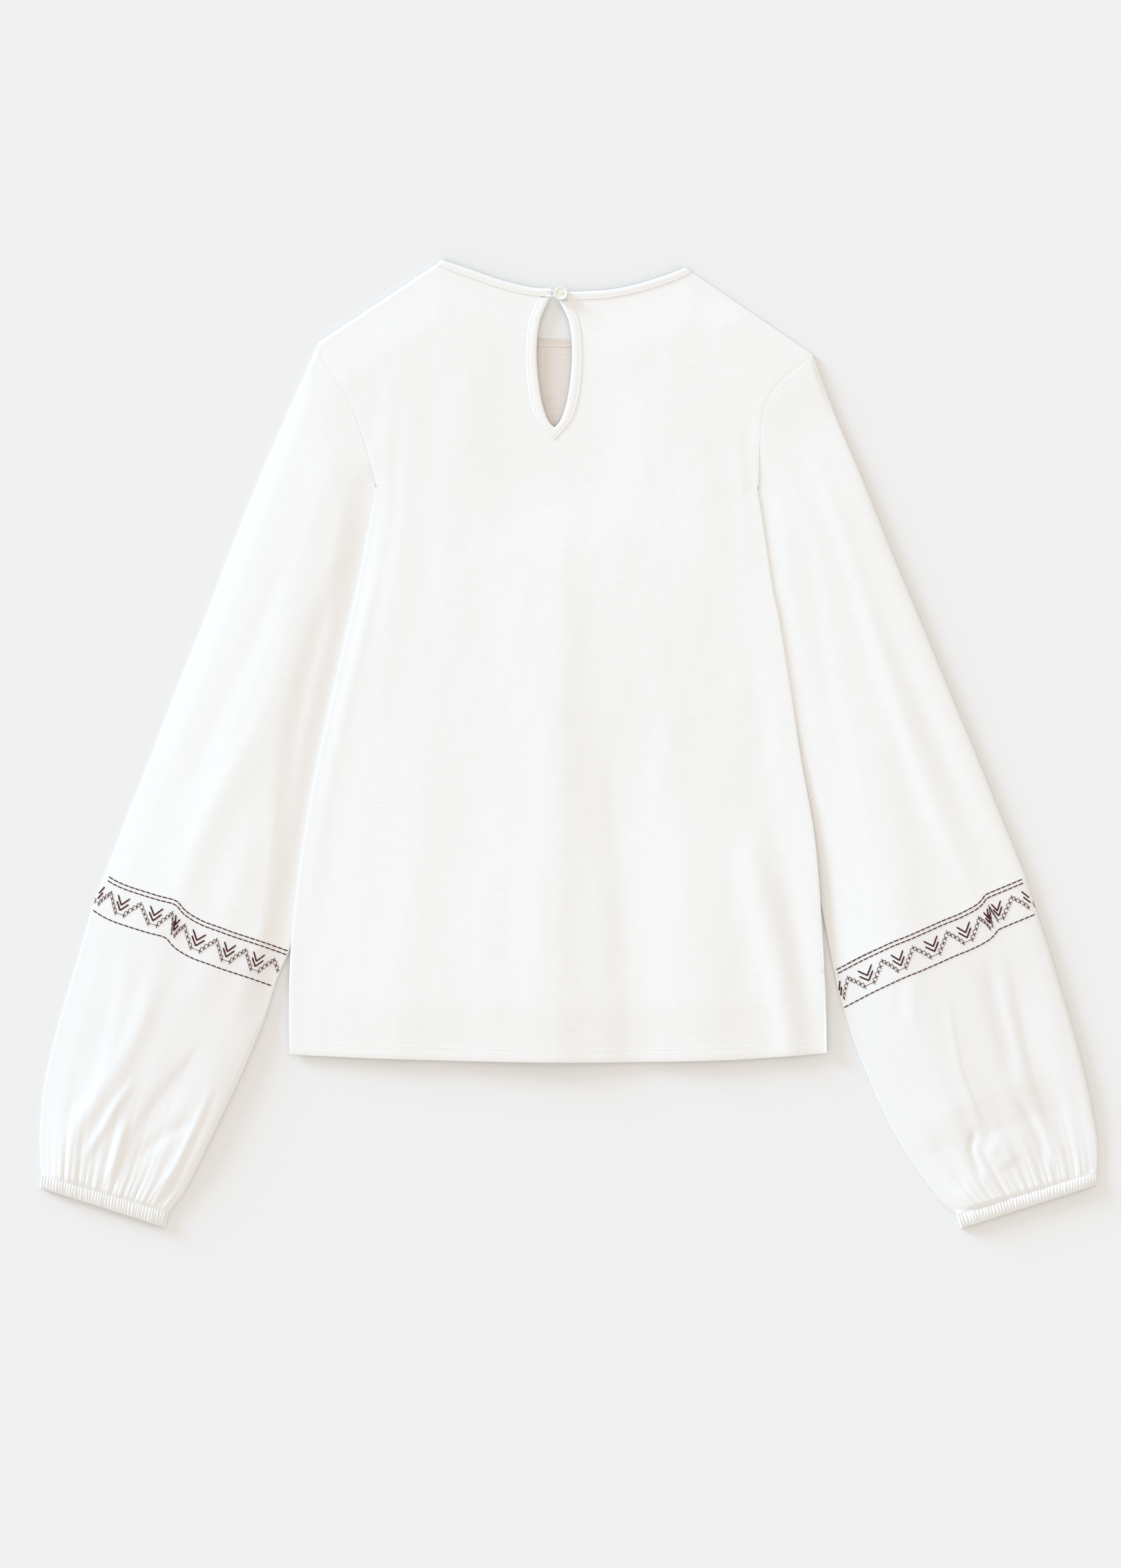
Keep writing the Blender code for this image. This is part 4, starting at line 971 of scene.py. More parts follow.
# %% Creases of the sleeves
# As for the body: points, half width, height and lean.
SLEEVE_CREASES = {
    "left": [
        ([(-178.4, 285.0), (-230.9, 153.4), (-286.5, 13.0), (-312.0, -62.5)], 12.0, 1.3, 0.0),
        ([(-187.2, 200.0), (-219.4, 100.9), (-272.0, -16.1), (-304.2, -78.6)], 10.0, -0.9, 0.0),
        ([(-190.0, 130.0), (-219.4, 27.6), (-257.4, -45.2), (-277.7, -95.0),
          (-291.0, -150.0)], 13.0, 1.0, -0.3),
        ([(-165.5, 140.0), (-178.4, 86.3), (-192.9, 27.6), (-201.8, -30.7),
          (-206.0, -100.0)], 8.0, -1.7, 0.0),
        ([(-225.0, -40.0), (-240.0, -105.0), (-262.0, -170.0), (-290.0, -225.0)], 14.0, 0.9, 0.0),
        ([(-298.5, -160.0), (-313.6, -210.6), (-347.4, -267.3), (-385.6, -309.6)], 8.0, 1.0, 0.0),
        ([(-332.3, -166.8), (-341.6, -214.8), (-355.2, -260.0), (-377.5, -298.0),
          (-386.3, -320.7)], 7.0, -0.8, 0.0),
        ([(-316.0, -248.3), (-328.6, -267.3), (-358.7, -317.0)], 3.6, 1.1, 0.0),
        ([(-323.5, -277.9), (-331.2, -307.3), (-340.6, -333.7)], 4.0, 1.3, 0.0),
        ([(-258.2, -217.7), (-282.9, -248.6), (-309.4, -282.9), (-324.5, -314.6),
          (-329.0, -341.5)], 10.0, -1.1, -0.45),
        ([(-268.0, -280.0), (-298.0, -295.9), (-320.8, -319.7)], 5.0, -0.7, 0.0),
        ([(-274.0, -322.0), (-290.7, -338.0), (-303.1, -350.5)], 3.2, -0.9, 0.0),
        ([(-352.0, -150.0), (-362.0, -205.0), (-374.0, -270.0)], 8.0, 0.6, 0.0),
        ([(-257.0, -250.0), (-267.0, -276.0), (-286.0, -315.0), (-296.0, -330.0),
          (-310.0, -350.0)], 3.2, 0.9, 0.0),
        ([(-252.0, -250.0), (-261.0, -276.0), (-279.5, -315.0), (-289.0, -332.0),
          (-304.0, -352.0)], 2.6, -1.1, 0.0),
        ([(-322.0, -120.0), (-331.0, -190.0), (-344.0, -250.0), (-362.0, -305.0)], 13.0, 0.7, 0.3),
    ],
    "right": [
        ([(192.5, 275.0), (197.6, 216.8), (222.0, 149.8), (249.1, 58.2), (279.8, -33.3),
          (308.4, -99.3), (330.4, -160.5)], 12.0, 1.8, -0.25),
        ([(206.4, 215.0), (234.0, 122.2), (267.8, 43.2), (304.2, -33.3), (326.4, -89.0)], 10.0, -1.0, 0.0),
        ([(157.6, 221.1), (173.2, 119.1), (182.0, 58.2), (200.6, -50.0)], 6.0, 1.2, 0.0),
        ([(176.0, 200.0), (192.0, 110.0), (205.0, 30.0), (228.0, -80.0)], 9.0, -0.8, 0.0),
        ([(230.0, 60.0), (248.0, -30.0), (262.0, -110.0), (270.0, -190.0)], 14.0, 0.7, 0.0),
        ([(257.0, -172.0), (257.6, -210.0)], 4.5, -0.35, 0.0),
        ([(267.4, -172.0), (267.0, -214.0)], 4.5, 0.35, 0.0),
        ([(292.0, -180.0), (302.6, -242.8), (315.6, -278.7), (318.7, -310.0)], 3.4, 0.45, 0.4),
        ([(321.4, -155.8), (334.9, -210.6), (346.2, -256.6)], 7.0, -1.2, 0.0),
        ([(340.0, -150.0), (350.0, -204.0), (359.0, -244.0), (371.0, -277.0), (386.0, -312.0),
          (389.0, -330.0)], 13.0, -1.9, -0.5),
        ([(376.0, -170.0), (386.0, -227.0), (394.0, -268.0), (398.0, -301.0),
          (397.0, -322.0)], 6.0, -1.2, 0.0),
        ([(344.3, -265.4), (359.3, -286.5), (370.7, -320.6)], 4.0, -1.3, 0.0),
        ([(322.0, -300.0), (334.0, -304.5), (344.0, -318.0)], 9.0, 1.3, 0.0),
        ([(315.6, -286.2), (311.5, -305.2), (321.8, -328.4)], 3.0, -1.4, 0.0),
        ([(275.8, -293.0), (296.9, -316.7), (307.7, -342.4)], 9.0, -1.5, 0.0),
    ],
}
print("creases of the sleeves:", sum(len(rows) for rows in SLEEVE_CREASES.values()))

# %% [markdown]
# ## Gathers
#
# The lower sleeve is gathered into its cuff: the extra cloth stands up in small puckers right at the
# seam, some of which join into longer folds higher up. The sum of four rows of ridges does that, each
# with fewer and longer ones than the one before, and with wandering spacing and height.

# %% Gathers
# How many ridges, how high, how far from the cuff they reach, and the seed of their wandering.
GATHER_ROWS = [(44, 0.45, 7.0, 21), (21, 0.95, 17.0, 22), (11, 0.95, 42.0, 23), (6, 0.5, 95.0, 24)]


def gather_height(share, from_cuff, seed):
    """How far the gathers lift the cloth, this share across the sleeve and this far from the cuff."""
    total = np.zeros(share.shape)
    for count, height, reach, row in GATHER_ROWS:
        slide = 0.9 * wander(share * 100, from_cuff * 0.25, 260.0 / count**0.5, seed + row)
        phase = count * share + slide
        tall = 0.65 + 0.6 * wander(share * 100, from_cuff * 0.15, 30.0, seed + row + 50)
        ridge = height * np.clip(tall, 0.1, 1.6) * np.abs(np.sin(math.pi * phase))
        total += ridge * np.exp(-from_cuff / reach)
    return total


# %% [markdown]
# ## Sleeve tubes
#
# A tube that lies flat is a closed ring of points: a rounded edge, the upper layer, the other edge and
# the lower layer on the surface. One function makes the ring for any width and any upper layer. The
# edge away from the light is the rounder and steeper one, because it throws the shadow.

# %% Rings of a flattened tube
EDGE_TURNS = np.radians([0, 22.5, 45, 67.5, 90])
FLAT_EDGES = {"left": (0.75, 1.35), "right": (1.35, 0.75)}
FULL_EDGES = {"left": (0.75, 2.4), "right": (2.0, 0.75)}


def ring_places(tops, bottoms, width, radii):
    """Where across the width the points of a ring lie, their heights, and which are the upper layer's."""
    outer, inner = radii
    quarter_a, quarter_z = 1 - np.cos(EDGE_TURNS), np.sin(EDGE_TURNS)
    over = np.linspace(0.0, 1.0, tops + 2)[1:-1]
    under = np.linspace(1.0, 0.0, bottoms + 2)[1:-1]
    a = np.concatenate([outer * quarter_a, mix(outer, width - inner, over), width - inner * quarter_a[::-1],
                        width - inner * quarter_a[1:], mix(outer, width - inner, under),
                        outer * quarter_a[::-1][:-1]])
    z = np.concatenate([outer + outer * quarter_z, np.full(tops, 2 * outer),
                        inner + inner * quarter_z[::-1], inner - inner * quarter_z[1:],
                        np.zeros(bottoms), (outer - outer * quarter_z)[::-1][:-1]])
    is_top = np.zeros(len(a), bool)
    is_top[len(EDGE_TURNS):len(EDGE_TURNS) + tops] = True
    return a, z, is_top


def edge_radii(side, fullness):
    """The radii of a tube's outer and inner edge. The one away from the light is the rounder one."""
    return mix(np.asarray(FLAT_EDGES[side]), np.asarray(FULL_EDGES[side]), fullness)


# %% Beside the body and along the border
CLEAR_RUN = {"left": 24.0, "right": 42.0}


def clear_of_body(side, x, y):
    """0 where the body lies on the sleeve, rising to 1 away from its side fold."""
    fold = FOLD[side]
    distance = (at_level(fold, y, 0) - x) * inwards(side) + np.maximum(0.0, y - fold[0, 1]) * 0.8
    return smoothstep((distance - 1.0) / CLEAR_RUN[side])


def seam_shift(side, u):
    """How far the border's line stands off the straight line across the sleeve."""
    row = SLEEVE_UPPER[side][-1]
    outer, inner = np.asarray(row[0:2]), np.asarray(row[2:4])
    run = inner - outer
    line = smooth_line(border_top(side), 4)
    share = (line - outer) @ run / (run @ run)
    shift = line - (outer + np.outer(share, run))
    order = np.argsort(share)
    fade = smoothstep(u / 0.03) * smoothstep((1 - u) / 0.03)
    return np.stack([np.interp(u, share[order], shift[order, k]) for k in (0, 1)], axis=-1) * fade[:, None]


# %% Tubes
ABOVE_SURFACE = 0.03
PATTERN_LENGTH = 240.0


def tube_piece(name, side, rows, tops, bottoms, plan_at, height_at, fullness_at):
    """A tube through rows of its length. plan_at gives a row's places, height_at its upper layer and
    fullness_at how round its edges are."""
    grid, flat = [], []
    for t in rows:
        width, plan = plan_at(t)
        a, z, is_top = ring_places(tops, bottoms, width, edge_radii(side, fullness_at(t)))
        u = a / width
        xy = plan(u)
        z[is_top] = height_at(t, u[is_top], xy[is_top, 0], xy[is_top, 1], width)
        grid.append(np.column_stack([xy, z + ABOVE_SURFACE]))
        lap = np.concatenate([[0.0], np.cumsum(np.abs(np.diff(a)) + 0.2)])
        flat.append(np.column_stack([np.append(lap, lap[-1] + 1.0),
                                     np.full(len(a) + 1, t * PATTERN_LENGTH)]))
    grid, flat = np.array(grid), np.array(flat)
    if side == "left":
        grid, flat = grid[:, ::-1], flat[:, ::-1]
    return grid_piece(name, grid, flat, closed=True)


def straight_plan(ends_at, shift=lambda t, u: 0.0):
    """A tube's plan between the outer and inner ends that ends_at gives, moved by the shift."""
    def plan_at(t):
        outer, inner = ends_at(t)
        return np.hypot(*(inner - outer)), lambda u: mix(outer, inner, u[:, None]) + shift(t, u)

    return plan_at


def table_ends(stations):
    """The ends of a tube at a share of its length, from its table."""
    outer_edge, inner_edge = sleeve_edges(stations)
    return lambda t: (along(outer_edge, t)[0], along(inner_edge, t)[0])


# %% [markdown]
# ## Upper sleeves
#
# The upper tube starts in the armhole at the height of the back, swells, and ends on the seam above the
# border. Where the body lies on it, it is pressed down, and inside the side fold it stays clear of the
# cloth above it. The right sleeve leans a little: it is higher on its side towards the light, so its
# other side falls off in soft shade.

# %% Heights of the sleeves
def cloth_height(stations, side, t, x, y):
    """The height of a sleeve's upper layer away from its edges, with its creases."""
    table = np.asarray(stations)
    crown = np.interp(t, np.linspace(0, 1, len(table)), table[:, 4])
    creases = crease_height(x, y, SLEEVE_CREASES[side])
    return crown + 0.8 * creases + 0.12 * wander(x, y * 0.5, 26.0, 11)


EDGE_REACH = {"left": (64.0, 26.0), "right": (42.0, 60.0)}
SLEEVE_LEAN = {"left": 0.0, "right": 0.025}
LIT_EDGE, SHADED_EDGE = 20.0, 14.0
SHADED_RISE = 0.9


def upper_fullness(side):
    """The upper sleeve's free edge grows round below the shoulder. The left one's is under the body."""
    return lambda t: 0.0 if side == "left" else smoothstep(t / 0.3)


def lower_fullness(side):
    start = (lambda t: smoothstep((t - 0.12) / 0.25)) if side == "left" else (lambda t: 1.0)
    return lambda t: start(t) * (1.0 - smoothstep((t - 0.7) / 0.3))


def from_edges(side, u, width, full, fullness, share=1.0):
    """Leans the cloth down to the right and brings its height down to the tube's edges."""
    full = full + SLEEVE_LEAN[side] * (u - 0.5) * width
    reach, radius = (np.where(u < 0.5, *pair) for pair in (EDGE_REACH[side], edge_radii(side, fullness)))
    lit = radius < 1.0
    beside = np.minimum(u, 1.0 - u) * width
    top = np.maximum(2 * radius + np.where(lit, 0.0, SHADED_RISE * fullness), EDGE_TOP)
    turn = np.clip(beside / np.where(lit, LIT_EDGE, SHADED_EDGE), 0.0, 1.0)
    edge = mix(2 * radius, top, np.sin(turn * math.pi / 2))
    return mix(edge, full, smoothstep(beside / (reach * share)))


# %% Upper sleeves
JOINS_BACK = 0.14
LOWEST_UNDER = 2.2


def upper_plan(side):
    tip, underarm = np.asarray(ARMHOLE[side][0]), np.asarray(ARMHOLE[side][-1])
    ends_at = table_ends(SLEEVE_UPPER[side])

    def plan_at(t):
        outer, inner = ends_at(t)
        bend, ease = 1.0 - smoothstep(t / 0.4), smoothstep((t - 0.72) / 0.28)

        def plan(u):
            straight = mix(outer, inner, u[:, None])
            seam = armhole_points(side, u, -SEAM_GAP) - mix(tip, underarm, u[:, None])
            return straight + seam * bend + seam_shift(side, u) * ease

        return np.hypot(*(inner - outer)), plan

    return plan_at


def upper_height(side):
    def height_at(t, u, x, y, width):
        back = back_height(x, y)
        full = cloth_height(SLEEVE_UPPER[side], side, t, x, y)
        full = from_edges(side, u, width, full, upper_fullness(side)(t))
        full = mix(back, full, smoothstep(t / JOINS_BACK))
        full = mix(np.minimum(sleeve_beside_fold(side, y), full), full, clear_of_body(side, x, y))
        inside = (x - at_level(FOLD[side], y, 0)) * inwards(side)
        under = np.minimum(full, np.maximum(back - UNDER_BACK - 0.2, LOWEST_UNDER))
        full = np.where(y < FOLD[side][0, 1], mix(full, under, smoothstep(inside / 3.0)), full)
        return full - 0.1 * (1.0 - smoothstep(t / 0.005))

    return height_at


UPPER_ROWS = np.concatenate([[0.0, 0.003, 0.007], np.linspace(0.014, 1.0, 108)])
UPPER_COLUMNS, UNDER_COLUMNS = 96, 22
upper_pieces = {}
for side in SIDES:
    piece = tube_piece(f"{side}_sleeve_upper_cloth", side, UPPER_ROWS, UPPER_COLUMNS, UNDER_COLUMNS,
                       upper_plan(side), upper_height(side), upper_fullness(side))
    upper_pieces[side] = as_cloth(piece, JERSEY)
    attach(piece, "root")
    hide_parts(f"{side}_sleeve_upper")

# %% [markdown]
# ## Lower sleeves
#
# The lower tube starts on the same seam line and on the same heights, so the border lies across both
# as one surface. It ends in the gathers.

# %% Lower sleeves
LOWER_LENGTH = 215.0
AT_CUFF = 3.1
GATHER_SEED = {"left": 100, "right": 300}


def lower_plan(side):
    return straight_plan(table_ends(SLEEVE_LOWER[side]),
                         lambda t, u: seam_shift(side, u) * (1.0 - smoothstep(t / 0.35)))


def lower_height(side):
    def height_at(t, u, x, y, width):
        from_cuff = (1.0 - t) * LOWER_LENGTH
        full = cloth_height(SLEEVE_LOWER[side], side, t, x, y)
        full += gather_height(u, from_cuff, GATHER_SEED[side]) - 0.9 * np.exp(-from_cuff / 30.0)
        full = from_edges(side, u, width, full, lower_fullness(side)(t),
                          mix(0.35, 1.0, smoothstep(from_cuff / 110.0)))
        full = mix(AT_CUFF, full, smoothstep((from_cuff + 1.5) / 6.5))
        return mix(np.minimum(EDGE_TOP, full), full, clear_of_body(side, x, y))

    return height_at


LOWER_ROWS = 1.0 - np.linspace(1.0, 0.0, 118) ** 1.35
LOWER_COLUMNS = 190
lower_pieces = {}
for side in SIDES:
    piece = tube_piece(f"{side}_sleeve_lower_cloth", side, LOWER_ROWS, LOWER_COLUMNS, UNDER_COLUMNS,
                       lower_plan(side), lower_height(side), lower_fullness(side))
    lower_pieces[side] = as_cloth(piece, POPLIN)
    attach(piece, "root")
    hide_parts(f"{side}_sleeve_lower")

# %% [markdown]
# ## Cuffs
#
# The cuff is a narrow casing over elastic. It draws up into fine ribs, about 45 on each side, none
# quite like the next. The ribs are modelled, because they make its saw-toothed outline.

# %% Cuffs
# The outer end's x and y and the inner end's, at the top and at the bottom.
CUFF = {
    "left": [(-388.4, -324.2, -292.4, -352.2), (-389.2, -333.4, -294.8, -363.4)],
    "right": [(406.8, -321.8, 300.6, -353.4), (406.2, -331.2, 304.0, -364.0)],
}
CUFF_CROWN = 4.0
CUFF_RIBS = 45
RIB_HEIGHT = 0.95
CUFF_SEED = {"left": 40, "right": 60}


def cuff_ends(side):
    top, bottom = (np.asarray(row) for row in CUFF[side])
    return lambda t: np.split(mix(top, bottom, t), 2)


def cuff_height(side):
    def height_at(t, u, x, y, width):
        base = mix(EDGE_TOP, CUFF_CROWN, smoothstep(np.minimum(u, 1 - u) / 0.12))
        phase = CUFF_RIBS * u + 0.55 * wander(u * 100, np.zeros_like(u), 9.0, CUFF_SEED[side])
        tall = 0.75 + 0.35 * wander(u * 100, np.zeros_like(u), 5.0, CUFF_SEED[side] + 1)
        rib = np.abs(np.sin(math.pi * phase)) ** 0.8
        belly = 0.35 * math.sin(math.pi * t) - 0.9 * (1.0 - t) ** 5 - 1.3 * t**5
        return base + RIB_HEIGHT * tall * rib + belly

    return height_at


for side in SIDES:
    piece = tube_piece(f"{side}_cuff_cloth", side, np.linspace(0, 1, 11), 380, 40,
                       straight_plan(cuff_ends(side)), cuff_height(side), lambda t: 0.0)
    as_cloth(piece, POPLIN)
    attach(piece, "root")
    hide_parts(f"{side}_cuff")

# %% [markdown]
# ## Bindings
#
# A binding is a strip of cloth folded round a raw edge and stitched down close to its inner side. It
# is a swept profile: a soft pillow, rounded where it folds over the edge, with a groove where the
# stitching pulls it in.

# %% Binding tapes
TAPE_THICKNESS = 0.6
# Places across half the width, and the tape's height on them as shares of its thickness.
TAPE_PLACES = np.array([1, 0.97, 0.9, 0.8, 0.62, 0.56, 0.5, 0.44, 0.2, -0.1, -0.4, -0.65, -0.85,
                        -0.95, -1])
TAPE_HEIGHTS = np.array([0.1, 0.4, 0.62, 0.74, 0.78, 0.68, 0.62, 0.76, 0.92, 1, 0.98, 0.9, 0.7, 0.42, 0.1])


def tape_piece(name, stations):
    """Sweeps the profile along stations of centre, half width vector and normal."""
    rows, flat = [], []
    run = 0.0
    for k, station in enumerate(stations):
        centre, half_width, normal = (np.asarray(part, float) for part in station)
        if k:
            run += np.linalg.norm(centre - before)
        before = centre
        rows.append([centre + half_width * a + normal * TAPE_THICKNESS * h
                     for a, h in zip(TAPE_PLACES, TAPE_HEIGHTS)]
                    + [centre + half_width * a - normal * TAPE_THICKNESS * 0.35
                       for a in (-0.96, -0.5, 0.0, 0.5, 0.96)])
        across = np.concatenate([TAPE_PLACES, [-1.2, -0.5, 0.0, 0.5, 1.2, 1.3]]) * np.linalg.norm(half_width)
        flat.append(np.column_stack([across, np.full(len(across), run)]))
    obj = grid_piece(name, np.array(rows), np.array(flat), closed=True)
    select_only(obj)
    bpy.ops.object.mode_set(mode="EDIT")
    bpy.ops.mesh.select_all(action="DESELECT")
    bpy.ops.mesh.select_non_manifold()
    bpy.ops.mesh.edge_face_add()
    bpy.ops.object.mode_set(mode="OBJECT")
    face_outwards(obj)
    bpy.ops.object.shade_smooth_by_angle(angle=math.radians(60))
    obj.data.materials.append(BINDING_TAPE)
    print(f"{name}: {run:.0f} mm long, {len(obj.data.polygons)} faces")
    return obj


# %% Neck binding
def neck_stations():
    reach = NECK_BINDING_WIDTH / 2
    back_z, front_z = EDGE_TOP + 0.1, 0.55
    radius = (back_z - front_z) / 2
    stations = []

    def add(point, width, z, normal):
        centre = (point[0] + width[0] * reach, point[1] + width[1] * reach, z)
        stations.append((centre, (width[0] * reach, width[1] * reach, 0.0), normal))

    def over_shoulder(side, turns):
        width = shoulder_direction(side)
        outward = np.array([-width[1], width[0]]) * (1.0 if side == "right" else -1.0)
        for degrees in turns:
            turn = math.radians(degrees)
            point = np.asarray(NECK_POINT[side]) + outward * radius * (math.sin(turn) - 0.6)
            add(point, width, (back_z + front_z) / 2 + radius * math.cos(turn),
                (*(outward * math.sin(turn)), math.cos(turn)))

    (left, left_widths), (right, right_widths) = back_neck_runs()
    front, front_widths = front_neck_run()
    turns = range(15, 180, 15)
    for point, width in list(zip(left, left_widths))[:0:-1]:
        add(point, width, back_z, (0, 0, 1))
    over_shoulder("left", turns)
    for point, width in list(zip(front, front_widths))[1:-1]:
        add(point, width, front_z, (0, 0, -1))
    over_shoulder("right", turns[::-1])
    for point, width in list(zip(right, right_widths))[-2::-1]:
        add(point, width, back_z, (0, 0, 1))
    return stations


FRONT_SIDE_BELOW = 1.6
neck_piece = tape_piece("neck_binding_tape", neck_stations())
# Faces below this level are the binding's front run, in the back's shadow behind the keyhole. They get the
# tape with painted shade.
neck_piece.data.materials.append(TAPE_PAINTED_SHADE)
for face in neck_piece.data.polygons:
    face.material_index = 1 if face.center.z < FRONT_SIDE_BELOW * MM else 0
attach(neck_piece, "root")
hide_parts("neck_binding")

# %% Keyhole binding
def keyhole_stations():
    centres, halves = (KEYHOLE_INNER + KEYHOLE_OUTER) / 2, (KEYHOLE_OUTER - KEYHOLE_INNER) / 2 * 1.04
    heights = back_height(centres[:, 0], centres[:, 1])
    return [((*centre, z), (*half, 0.0), (0, 0, 1)) for centre, half, z in zip(centres, halves, heights)]


keyhole_piece = tape_piece("keyhole_binding_tape", keyhole_stations())
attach(keyhole_piece, "root")
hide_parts("keyhole_binding")

# %% [markdown]
# ## One stitch
#
# All the sewing and the embroidery is made of one shape: a bit of thread that lies on the cloth and
# dives into it at both ends. It is modelled once, as a cylinder whose ends are extruded and narrowed.
# Every stitch is then a copy with its own mesh, stretched to its length and width, and the copies of one
# line of sewing are joined.

# %% The stitch
def select_faces(obj, chosen):
    """Goes into edit mode with only those faces selected for which chosen(face) is true."""
    select_only(obj)
    bpy.ops.object.mode_set(mode="EDIT")
    bpy.ops.mesh.select_mode(type="FACE")
    bpy.ops.mesh.select_all(action="DESELECT")
    bpy.ops.object.mode_set(mode="OBJECT")
    for face in obj.data.polygons:
        face.select = bool(chosen(face))
    bpy.ops.object.mode_set(mode="EDIT")


def model_stitch():
    """One stitch, 1 long, 1 wide and 1 thick."""
    bpy.ops.object.select_all(action="DESELECT")
    bpy.ops.mesh.primitive_cylinder_add(vertices=8, radius=0.5, depth=0.76, rotation=(0.0, math.pi / 2, 0.0))
    shape = bpy.context.active_object
    bpy.ops.object.transform_apply(location=False, rotation=True, scale=False)
    for end in (-1.0, 1.0):
        select_faces(shape, lambda face: face.normal.x * end > 0.9)
        bpy.ops.mesh.extrude_region_move(TRANSFORM_OT_translate={"value": (end * 0.12, 0.0, -0.15)})
        bpy.ops.transform.resize(value=(1.0, 0.5, 0.5))
        bpy.ops.object.mode_set(mode="OBJECT")
    bpy.ops.object.shade_smooth()
    return shape


STITCH = model_stitch()
print("stitch:", len(STITCH.data.polygons), "faces,", tuple(round(size, 2) for size in STITCH.dimensions))

# %% Laying stitches on cloth
SUNK_BELOW = 0.3


def stitch_copy(place):
    """A copy of the stitch with its own mesh, put in its place by a matrix."""
    copy = STITCH.copy()
    copy.data = STITCH.data.copy()
    copy.data.transform(place)
    bpy.context.scene.collection.objects.link(copy)
    return copy


def surface_of(pieces):
    """A function that gives the height of these pieces at a point, or None beside them."""
    graph = bpy.context.evaluated_depsgraph_get()
    trees = [BVHTree.FromObject(piece, graph) for piece in pieces]

    def height_at(x, y):
        start = Vector(((x + BODY_CENTRE[0]) * MM, (y + BODY_CENTRE[1]) * MM, 0.1))
        hits = [tree.ray_cast(start, Vector((0.0, 0.0, -1.0)))[0] for tree in trees]
        heights = [hit.z / MM for hit in hits if hit]
        return max(heights) if heights else None

    return height_at


def lay_stitches(name, ends, width, thickness, height_at, material, covered=None, lift=0.0):
    """Copies the stitch between each pair of ends, on the cloth, and joins the copies to one piece."""
    copies = []
    for a, b in ends:
        heights = [height_at(*a), height_at(*b)]
        if None in heights or min(heights) < SUNK_BELOW or (covered and (covered(*a) or covered(*b))):
            continue
        a, b = (Vector((x + BODY_CENTRE[0], y + BODY_CENTRE[1], z + lift))
                for (x, y), z in zip((a, b), heights))
        lengthwise = (b - a).normalized()
        sideways = Vector((0.0, 0.0, 1.0)).cross(lengthwise).normalized()
        upwards = lengthwise.cross(sideways)
        turn = Matrix((lengthwise * (b - a).length, sideways * width, upwards * thickness))
        place = Matrix.Scale(MM, 4) @ Matrix.Translation((a + b) / 2)
        copies.append(stitch_copy(place @ turn.transposed().to_4x4()))
    joined = join(copies)
    joined.name = name
    joined.data.materials.append(material)
    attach(joined, "root")
    print(f"{name}: {len(copies)} stitches, {len(joined.data.polygons)} faces")
    return joined


def stitch_ends(line, length, gap):
    """The ends of stitches of that length one after another along a line."""
    total = distances(line)[-1]
    starts = np.arange(gap, total - length, length + gap)
    return list(zip(along(line, starts / total)[:, :2], along(line, (starts + length) / total)[:, :2]))


# %% [markdown]
# ## The sewing
#
# The bindings are stitched down close to their inner edge, the hem 9 mm above its fold. A household
# stitch is about 2.4 mm long. White on white it hardly shows, but the pits between the stitches do.

# %% Lines of sewing
STITCH_LENGTH, STITCH_GAP = 2.3, 0.7
THREAD_WIDTH, THREAD_HEIGHT = 0.42, 0.30
BINDING_STITCH = 4.5
HEM_STITCH = 9.3

on_binding = surface_of([neck_piece, keyhole_piece])
sewn = {}
for name, (edge, across) in zip(("left", "right", "front"), (*back_neck_runs(), front_neck_run())):
    sewn[f"neck_stitching_{name}"] = (edge + across * BINDING_STITCH, on_binding)
sewn["keyhole_stitching"] = (mix(KEYHOLE_INNER, KEYHOLE_OUTER, 0.76), on_binding)
mitre = np.array([(CENTRE_X, KEYHOLE_FOOT[0] + 0.8), (CENTRE_X, KEYHOLE_FOOT[1] + 1.0)])
sewn["keyhole_mitre"] = (mitre, on_binding)
sewn["hem_stitching"] = (smooth_line(HEM) + np.array([0.0, HEM_STITCH]), surface_of([back_piece]))
for name, (line, height_at) in sewn.items():
    ends = stitch_ends(line, STITCH_LENGTH, STITCH_GAP)
    piece = lay_stitches(name, ends, THREAD_WIDTH, THREAD_HEIGHT, height_at, SEWING_THREAD)

# %% [markdown]
# ## The embroidered border
#
# The border is a common one: two running lines, a zigzag of cross-stitches with a pair of chevrons over
# each dip, and one more running line. It is charted here once, in millimetres along and up from
# the lower line. On the cloth the chart is laid repeat by repeat along the line of the border, so where
# the sleeve ducks into a fold the stitches crowd together as the real ones do.

# %% Chart of one repeat
REPEAT = 25.2
BORDER_HALF = 14.35
RUNNING_LINES = (0.0, 25.7, 28.7)
CROSSES = [
    (-12.6, 18.7), (-10.0, 15.5), (-7.6, 12.6), (-5.1, 9.6), (-2.8, 6.9),
    (3.9, 7.0), (5.9, 10.2), (8.2, 13.4), (10.6, 16.2), (12.6, 18.7),
]
CROSS_REACH = (1.9, 2.0)
CHEVRONS = [
    ((0.4, 9.3), (-4.7, 15.4)), ((-0.2, 9.3), (5.0, 15.9)),
    ((0.1, 13.3), (-5.2, 20.0)), ((-0.5, 13.3), (4.8, 20.3)),
]
HALF_REPEAT_STEPS = 8
BORDER_LINE = {side: smooth_line(BORDER_MIDDLE[side], HALF_REPEAT_STEPS) for side in SIDES}


def on_border(side, repeat, up):
    """The point of the border at this repeat, this many millimetres above its lower line."""
    line = BORDER_LINE[side]
    index = repeat * 2.0 * HALF_REPEAT_STEPS
    inside = min(max(index, 0.0), len(line) - 1.0)
    point = np.array([np.interp(inside, np.arange(len(line)), line[:, k]) for k in (0, 1)])
    step = line[2] - line[0] if index < 0 else line[-1] - line[-3]
    return point + (index - inside) * step / 2 + np.asarray(BORDER_UP[side]) * (up / BORDER_HALF - 1.0)


